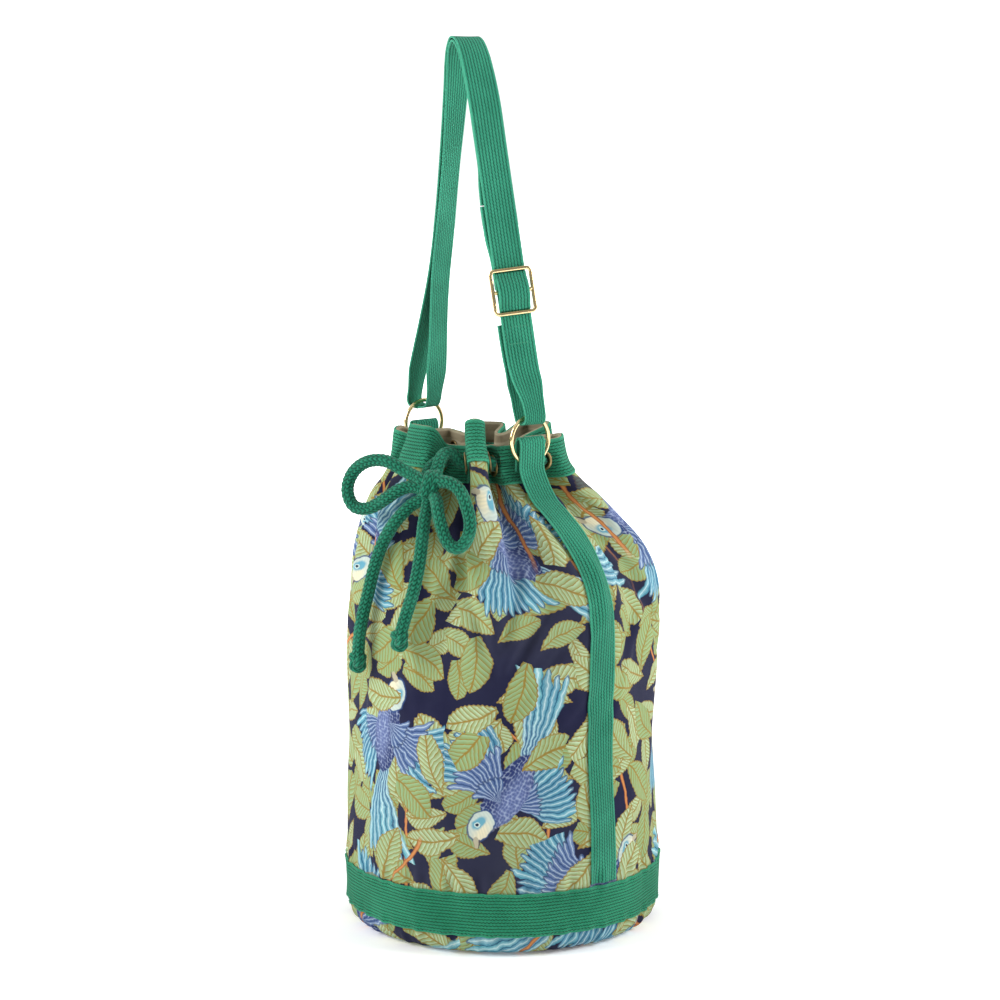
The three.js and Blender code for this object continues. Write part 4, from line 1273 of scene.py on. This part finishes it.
def braided(name, points, diameter, per=24, ease=0):
    """A braided rope along a curve through points: strands crossing in V-shaped columns."""
    path = Path(points, per)
    if ease:
        path = eased(path, ease)
    step = 0.7
    along = np.linspace(0, path.length, int(path.length / step))
    middle = path.at(along)
    tangent = path.tangent(along)
    up = np.zeros_like(middle)
    hint = np.array([0.3, 0.2, 1.0])
    for i, t in enumerate(tangent):
        hint = square_to(hint, t)
        up[i] = hint
    side = np.cross(tangent, up)
    around = 40
    turns = 2 * math.pi * np.arange(around) / around
    column = turns * BRAID_COLUMNS / (2 * math.pi)
    share = column % 1.0 - 0.5
    parity = np.floor(column) % 2
    chevron = along[:, None] / BRAID_PITCH + (np.abs(share) * 1.5 + parity * 0.5)[None, :]
    bulge = (0.5 + 0.5 * np.cos(2 * math.pi * chevron)) ** 0.7
    ridge = 1 - (2 * np.abs(share))[None, :] ** 3
    height = bulge * (0.35 + 0.65 * ridge)
    radius = diameter / 2 * (0.88 + 0.16 * height)
    grid = (
        middle[:, None]
        + radius[:, :, None] * np.cos(turns)[None, :, None] * up[:, None]
        + radius[:, :, None] * np.sin(turns)[None, :, None] * side[:, None]
    )
    u = np.repeat((turns * diameter / 2)[None, :], len(along), axis=0)
    v = np.repeat(along[:, None], around, axis=1)
    faces = grid_faces(len(along), around, wrap_columns=True)
    piece = make_mesh(name, grid.reshape(-1, 3), faces, uv_pairs(u, v), None, CORD)
    attribute = piece.data.attributes.new("relief", "FLOAT", "POINT")
    attribute.data.foreach_set("value", height.ravel().astype(np.float32))
    cap_ends(piece)
    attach(piece, "bag")
    return piece, path


def run_points():
    """The rope's way through every eyelet, as in the part."""
    points = [SEATS[0][0]]
    for (c0, n0, in0), (c1, n1, in1) in zip(SEATS, SEATS[1:]):
        leaving = -n0 if in0 else n0
        out_of = n1 if in1 else -n1
        way = unit(c1 - c0)
        first = c0 + leaving * (EYELET_REACH + EYELET_SWING * (1 - abs(leaving @ way)))
        second = c1 + out_of * (EYELET_REACH + EYELET_SWING * (1 - abs(out_of @ way)))
        if np.linalg.norm(second - first) > NEAR_ENDS:
            points += [first, second]
        else:
            points.append((first + second) / 2)
    return points + [SEATS[-1][0]]


KNOT = np.array([28.0, -93.0, 361.0])
CAMERA_RIGHT = np.array([0.625, 0.780, 0.0])
CAMERA_SIDE = np.array([0.780, -0.625, 0.0])

LEFT_ROUTE = [
    (10, -69, 378), (11, -78, 375), (16, -88, 368), (25, -93, 363), (27, -98, 366),
    (16, -99, 369), (7, -105, 374), (-5, -112, 380), (-20, -119, 378), (-32, -124, 368),
    (-36, -126, 354), (-30, -124, 342), (-17, -119, 342), (-2, -113, 351), (7, -108, 358),
    (15, -102, 361), (25, -98, 359), (26, -99, 352),
    (20, -103, 349), (15, -109, 342), (9, -115, 332), (2, -120, 317), (-4, -124, 297),
    (-8, -127, 277), (-12, -130, 257), (-15, -131, 240), (-16, -131, 230), (-17, -131, 222),
]
RIGHT_ROUTE = [
    (18, -66, 385), (19, -75, 383), (24, -83, 375), (28, -90, 367), (33, -92, 366),
    (41, -92, 367), (48, -90, 367), (58, -88, 362), (66, -88, 351), (71, -88, 338),
    (72, -92, 326), (68, -98, 319), (61, -102, 323), (55, -103, 334), (49, -102, 345),
    (42, -98, 353), (34, -96, 357), (31, -98, 352),
    (33, -100, 347), (38, -107, 337), (42, -112, 324), (44, -117, 304), (42, -121, 284),
    (39, -125, 268), (37, -128, 256), (35, -129, 247),
]


def end_knot(name, centre, replaced):
    """A tight overhand knot with its end pulled in."""
    turns = np.linspace(0, 2 * math.pi, 40)
    size = 1.75
    points = centre + size * np.stack(
        [
            np.sin(turns) + 2 * np.sin(2 * turns),
            -1.1 * np.sin(3 * turns),
            np.cos(turns) - 2 * np.cos(2 * turns),
        ],
        axis=-1,
    )
    piece, _ = braided(name, points, END_KNOT_ROPE, per=4)
    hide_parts(replaced)
    return piece


def build_drawstring():
    run, _ = braided("drawstring_in_eyelets", run_points(), HELD_ROPE)
    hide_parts("drawstring_run")
    turns = np.linspace(-0.15 * math.pi, 2.75 * math.pi, 46)
    drift = (turns - 1.3 * math.pi) / (2 * math.pi)
    wrap_points = KNOT + (
        np.outer(8.6 * np.cos(turns), CAMERA_SIDE)
        + np.outer(9.4 * np.sin(turns), (0.16, 0.1, 1.0))
        + np.outer(5.2 * drift, CAMERA_RIGHT)
    )
    wrap, _ = braided("bow_knot_wrap", wrap_points, WRAP_ROPE, per=4)
    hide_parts("bow_knot")
    for name, seat, route in (("left", SEATS[-1], LEFT_ROUTE), ("right", SEATS[0], RIGHT_ROUTE)):
        points = [seat[0], seat[0] + seat[1] * 6.0, *route]
        rope, path = braided(f"drawstring_{name}", points, ROPE, ease=4)
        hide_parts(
            f"drawstring_exit_{name}", f"bow_loop_{name}", f"drawstring_tail_{name}"
        )
        knot = end_knot(f"end_knot_{name}_tied", np.array(route[-1], float), f"end_knot_{name}")
        with_pieces = [knot, wrap] if name == "left" else [knot]
        tuple(seat[0] * MM)


# ---------------------------------------------------------------- shoulder strap

TWIST_RIGHT = -0.45
TWIST_LEFT = 0.3
TWIST_RING = 0.25
PLY_OFFSET = 1.3
LOOP_HALF = 9.9
LOOP_DROP = 5.5
LOOP_WIDTH = 18.0
STRAIGHT_TOP = np.array([5.0, -21.0, 650.0])
LEG_START = RIGHT_RING + (0, 0, RING_RADIUS)
LEG_END = LEFT_RING + (0, 0, RING_RADIUS)
ARCH_START = lerp(STRAIGHT_TOP, LEG_START, 0.08)
ARCH = Path([
    ARCH_START, STRAIGHT_TOP, (-3, -22, 679), (-14, -20, 697), (-30, -14, 702), (-43, -9, 691),
    (-50, -7, 664), (-54, -8, 625), (-63, -11, 540), (-74, -14, 465), LEG_END,
], per=60)
LEG_LENGTH = math.dist(LEG_START, ARCH_START)
STRAP_LENGTH = LEG_LENGTH + ARCH.length
LEG_UP = unit(STRAIGHT_TOP - LEG_START)
STITCHED_END = 73.0
SLIDER_AT = 98.0
SEWN_TAIL_TOP = 166.0
SLACK_TOP = 238.0
STITCHED_PEEP = 2.8  # how far the folded ends show beside the front ply
SEWN_PEEP = 2.4


def strap_middle(distance):
    if distance < LEG_LENGTH:
        return LEG_START + LEG_UP * distance
    return ARCH.at(min(distance - LEG_LENGTH, ARCH.length))


def strap_twist(distance):
    from_end = min(distance, STRAP_LENGTH - distance)
    leg = lerp(TWIST_RIGHT, TWIST_LEFT, float(smooth(distance, LEG_LENGTH, LEG_LENGTH + 200)))
    at_ring = -TWIST_RING if distance < STRAP_LENGTH / 2 else TWIST_RING
    return lerp(at_ring, leg, float(smooth(from_end, 10, 60)))


def strap_side(distance):
    twist = strap_twist(distance)
    return np.array([-math.sin(twist), math.cos(twist), 0.0])


def strap_face(distance):
    along = unit(strap_middle(distance + 1) - strap_middle(distance - 1))
    return np.cross(square_to(strap_side(distance), along), along)


def ply_offset(distance):
    from_end = min(distance, STRAP_LENGTH - distance)
    long = 45 if distance < STRAP_LENGTH / 2 else 120
    return lerp(LOOP_HALF, PLY_OFFSET, float(smooth(from_end, 6, long)))


def ply_points(start, end, face):
    """Points on one face of the strap between two distances along it, and their distances."""
    count = max(round(abs(end - start) / 14), 2)
    distances = np.linspace(start, end, count + 1)
    points = [strap_middle(d) + strap_face(d) * face * ply_offset(d) for d in distances]
    return points, list(distances)


def moved_aside(points, distances, how_far):
    """Points moved across the strap by how_far(distance) millimetres."""
    return [p - strap_side(d) * how_far(d) for p, d in zip(points, distances)]


def half_turn(end, distance, face):
    """The strap's bend round a ring, down one side to its lowest point."""
    out = strap_face(distance)
    out = unit(np.array([out[0], out[1], 0.0]))

    def down(sideways, drop):
        return end + out * sideways + np.array([0, 0, -drop])

    return [
        down(face * LOOP_HALF, 0),
        down(face * (LOOP_HALF - 2), LOOP_DROP - 1.6),
        down(0, LOOP_DROP),
    ]


def ply(name, points, distances, body, wave=0.0):
    """A strap ply; its width direction follows the strap's twist where it lies."""
    path = Path(points, 16)
    along = np.linspace(0, path.length, max(int(path.length / 1.6), 12))
    middle = path.at(along)
    tangent = path.tangent(along)
    here = np.interp(path.place(along), np.arange(len(distances)), distances)
    side = square_to(np.array([strap_side(d) for d in here]), tangent)
    face = np.cross(side, tangent)
    near = np.minimum(
        np.linalg.norm(middle - LEG_START, axis=1), np.linalg.norm(middle - LEG_END, axis=1)
    )
    widths = lerp(LOOP_WIDTH, WEBBING_WIDTH, smooth(near, 9, 30))
    piece = tape(name, middle, side, face, widths, along, body, wave=wave)
    return piece


def stitch_box(name, centre, side, up, face, half_wide, half_high, body):
    """A sewn rectangle."""
    lines = []
    for a, b in (
        ((-1, -1), (1, -1)), ((1, -1), (1, 1)), ((1, 1), (-1, 1)), ((-1, 1), (-1, -1)),
    ):
        ends = [
            centre + side * (half_wide * q[0]) + up * (half_high * q[1]) for q in (a, b)
        ]
        lines.append(np.linspace(ends[0], ends[1], 12))
    normals = [np.repeat(face[None], 12, axis=0)] * 4
    stitches(name, lines, normals, body, pitch=2.6, long=1.9)


def build_strap():
    first, d1 = ply_points(STITCHED_END, 8, -1)
    first = moved_aside(first, d1, lambda d: STITCHED_PEEP * float(smooth(d, 15, 55)))
    turn = half_turn(LEG_START, 1.5, -1)
    back = half_turn(LEG_START, 1.5, 1)[:2][::-1]
    over, d2 = ply_points(8, STRAP_LENGTH - 8, 1)
    end = half_turn(LEG_END, STRAP_LENGTH - 1.5, 1)
    distances = d1 + [1.5] * 5 + d2 + [STRAP_LENGTH - 1.5] * 3
    outer = ply(
        "strap_outer_webbing", first + turn + back + over + end, distances, "strap", 0.25
    )
    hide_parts("strap_outer")
    start = half_turn(LEG_END, STRAP_LENGTH - 1.5, -1)[::-1]
    start[0] = start[0] + unit(start[1] - start[0]) * 2 * GAP
    over, d3 = ply_points(STRAP_LENGTH - 8, SLACK_TOP + 2 * GAP, -1)
    inner = ply(
        "strap_inner_webbing", start + over, [STRAP_LENGTH - 1.5] * 3 + d3, "strap", 0.25
    )
    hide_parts("strap_inner")
    points, distances = ply_points(SLACK_TOP, SEWN_TAIL_TOP + GAP, -1)
    fade = (SEWN_TAIL_TOP + 4, SEWN_TAIL_TOP + 34)
    points = moved_aside(points, distances, lambda d: SEWN_PEEP * (1 - float(smooth(d, *fade))))
    slack = ply("strap_slack_webbing", points, distances, "strap")
    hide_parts("strap_slack")
    tuple(points[0] * MM)
    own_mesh(slack)

    points, distances = ply_points(SEWN_TAIL_TOP, SLIDER_AT + 4, -1)
    points = moved_aside(
        points, distances, lambda d: SEWN_PEEP * float(smooth(d, SLIDER_AT + 20, 145))
    )
    tail = [p - strap_face(d) * (WEBBING + GAP + 0.1) for p, d in zip(points, distances)]
    bend = lerp(points[-1], tail[-1], 0.5) - LEG_UP * 2.4
    sewn = ply(
        "strap_sewn_webbing", points + [bend] + tail[::-1],
        distances + [SLIDER_AT] + distances[::-1], "slider",
    )
    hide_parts("strap_sewn_end")
    ply_face = PLY_OFFSET + WEBBING / 2
    tail_face = -PLY_OFFSET - WEBBING * 1.5 - GAP - 0.1
    for name, at, offset, body in (
        ("strap_end_stitches", STITCHED_END - 9, -ply_face, "strap"),
        ("strap_end_stitches_front", STITCHED_END - 9, ply_face, "strap"),
        ("slider_end_stitches", SEWN_TAIL_TOP - 10, tail_face, "slider"),
    ):
        normal = strap_face(at)
        centre = strap_middle(at) + normal * offset
        up = LEG_UP
        across = square_to(strap_side(at), up)
        stitch_box(name, centre, across, up, normal * math.copysign(1, offset), 10.2, 6.5, body)


def slider_frame_axes():
    face = strap_face(SLIDER_AT)
    return np.cross(LEG_UP, face), LEG_UP, face, strap_middle(SLIDER_AT)


def build_slider():
    across, up, face, centre = slider_frame_axes()
    front = PLY_OFFSET + WEBBING / 2 + GAP + 0.2 + 1.2

    def place(points):
        p = np.asarray(points, float)
        return centre + np.outer(p[:, 0], across) + np.outer(p[:, 1], up) + np.outer(p[:, 2], face)

    half_x = (SLIDER_WIDTH - SLIDER_WIRE) / 2
    half_y = (SLIDER_HEIGHT - SLIDER_WIRE) / 2
    corner = 3.2
    loop = []
    for cx, cy, first in ((1, 1, 0), (-1, 1, 90), (-1, -1, 180), (1, -1, 270)):
        for t in np.linspace(math.radians(first), math.radians(first + 90), 9):
            loop.append((
                cx * (half_x - corner) + corner * math.cos(t),
                cy * (half_y - corner) + corner * math.sin(t), front,
            ))
    dense = []
    for a, b in zip(loop, loop[1:] + loop[:1]):
        count = max(int(math.dist(a, b) / 1.0), 1)
        dense += [tuple(lerp(np.array(a), np.array(b), k / count)) for k in range(count)]
    wire = tube_along(
        "slider_wire", place(dense), True, oval(SLIDER_WIRE / 2, 1.25, 24, 1.35), face, GOLD, "slider"
    )
    bar = tube_along(
        "slider_bar", place([(x, 0, front) for x in np.linspace(-half_x, half_x, 30)]), False,
        oval(SLIDER_WIRE / 2, 1.2, 20), face, GOLD, "slider",
    )
    slider = join([wire, bar], "slider_wire")
    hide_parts("slider_frame")

    low = PLY_OFFSET + WEBBING + GAP
    half = SLIDER_HEIGHT / 2 - SLIDER_WIRE - 1
    ys = [-half, -half + 3, -6, -2, 2, 6, half - 3, half]
    curve = [(0, y, low + 4.6 * (1 - float(smooth(abs(y), 3, half - 1)))) for y in ys]
    path = Path(curve)
    along = np.linspace(0, path.length, 44)
    local, tangent = path.at(along), path.tangent(along)
    basis = np.array([across, up, face])
    middle = place(local)
    tangent = tangent @ basis
    side = np.repeat(across[None], len(along), axis=0)
    facing = np.cross(side, tangent)
    bight = tape(
        "slider_bight_webbing", middle, side, facing, np.full(len(along), WEBBING_WIDTH),
        along, "slider",
    )
    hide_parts("strap_bight")


def build_band_stitches():
    places = np.linspace(0, 1, 900)
    for name, heights in (
        ("base_band_stitches", (BASE_BAND_LOW + 2.0, BASE_BAND_LOW + BASE_BAND_HEIGHT - 2.0)),
        ("rim_band_stitches", (RIM_HEIGHT - RIM_BAND_HEIGHT + 2.2,)),
    ):
        lines = [cloth(places, h, GAP + WEBBING + 0.05) for h in heights]
        normals = [outwards(places, h) for h in heights]
        stitches(name, lines, normals, "bag")


# ---------------------------------------------------------------- camera, light and floor

WORLD_BEHIND = 1.12
WORLD_FRONT = 0.25


def build_camera():
    data = bpy.data.cameras.new("camera")
    data.lens = 105.0
    data.sensor_width = 36.0
    data.shift_x = -0.002
    data.clip_end = 50
    camera = bpy.data.objects.new("camera", data)
    bpy.context.scene.collection.objects.link(camera)
    camera.location = (1.794, -1.4375, 0.700)
    camera.rotation_euler = (math.radians(90 - 8.93), 0, math.radians(51.3))
    bpy.context.scene.camera = camera


def area_light(name, location, target, size, power, colour=(1, 1, 1)):
    data = bpy.data.lights.new(name, "AREA")
    data.shape = "DISK"
    data.size = size
    data.energy = power
    data.color = colour
    light = bpy.data.objects.new(name, data)
    light.location = location
    light.rotation_euler = (Vector(target) - Vector(location)).to_track_quat("-Z", "Y").to_euler()
    bpy.context.scene.collection.objects.link(light)


def build_studio():
    """A white tent: bright behind and on the floor, dimmer in front, and lit from both sides."""
    scene = bpy.context.scene
    world = bpy.data.worlds.new("studio")
    world.use_nodes = True
    shader = Shader(world.node_tree)
    direction = shader.parts(shader.node("ShaderNodeTexCoord").outputs["Generated"])
    behind = direction[0] * -0.78 + direction[1] * 0.625
    strength = behind.step(-0.35, 0.75) * (WORLD_BEHIND - WORLD_FRONT) + WORLD_FRONT
    shader.plug(world.node_tree.nodes["Background"].inputs[1], strength)
    world.node_tree.nodes["Background"].inputs[0].default_value = (1, 1, 1, 1)
    scene.world = world
    scene.view_settings.view_transform = "Standard"
    bpy.ops.mesh.primitive_plane_add(size=14, location=(0, 0, -0.0005))
    floor = bpy.context.object
    floor.name = "floor"
    made, shader, principled = material("floor_paper", (0.93, 0.93, 0.93), 0.9)
    x, y, _ = shader.parts(shader.node("ShaderNodeTexCoord").outputs["Object"])
    # Painted light: the floor paper glows, faintly by the bag and more strongly farther out, so the
    # floor fades into the white while the shadow by the bag stays.
    far = (x * x + y * y).sqrt().step(0.45, 1.6)
    principled.inputs["Emission Color"].default_value = (1, 1, 1, 1)
    shader.plug(principled.inputs["Emission Strength"], far * 1.1 + 0.16)
    floor.data.materials.append(made)
    area_light("left_side", (-0.62, -1.62, 1.25), (0, 0, 0.33), 1.2, 34)
    area_light("right_side", (1.23, 1.06, 1.35), (0, 0, 0.33), 1.2, 32)
    area_light("top_front", (0.9, -0.9, 2.3), (0, 0, 0.35), 1.2, 4)


build_camera()
build_drawstring()
build_studio()
build_panel("back", 0.0, LEFT_SEAM)
build_panel("front", LEFT_SEAM, 1.0)
build_lining()
build_rim()
build_base_band()
build_base()
side_strip("right", 1, 0.0)
side_strip("left", -1, LEFT_SEAM)
build_band_stitches()
build_rings()
build_eyelets()
build_strap()
build_slider()
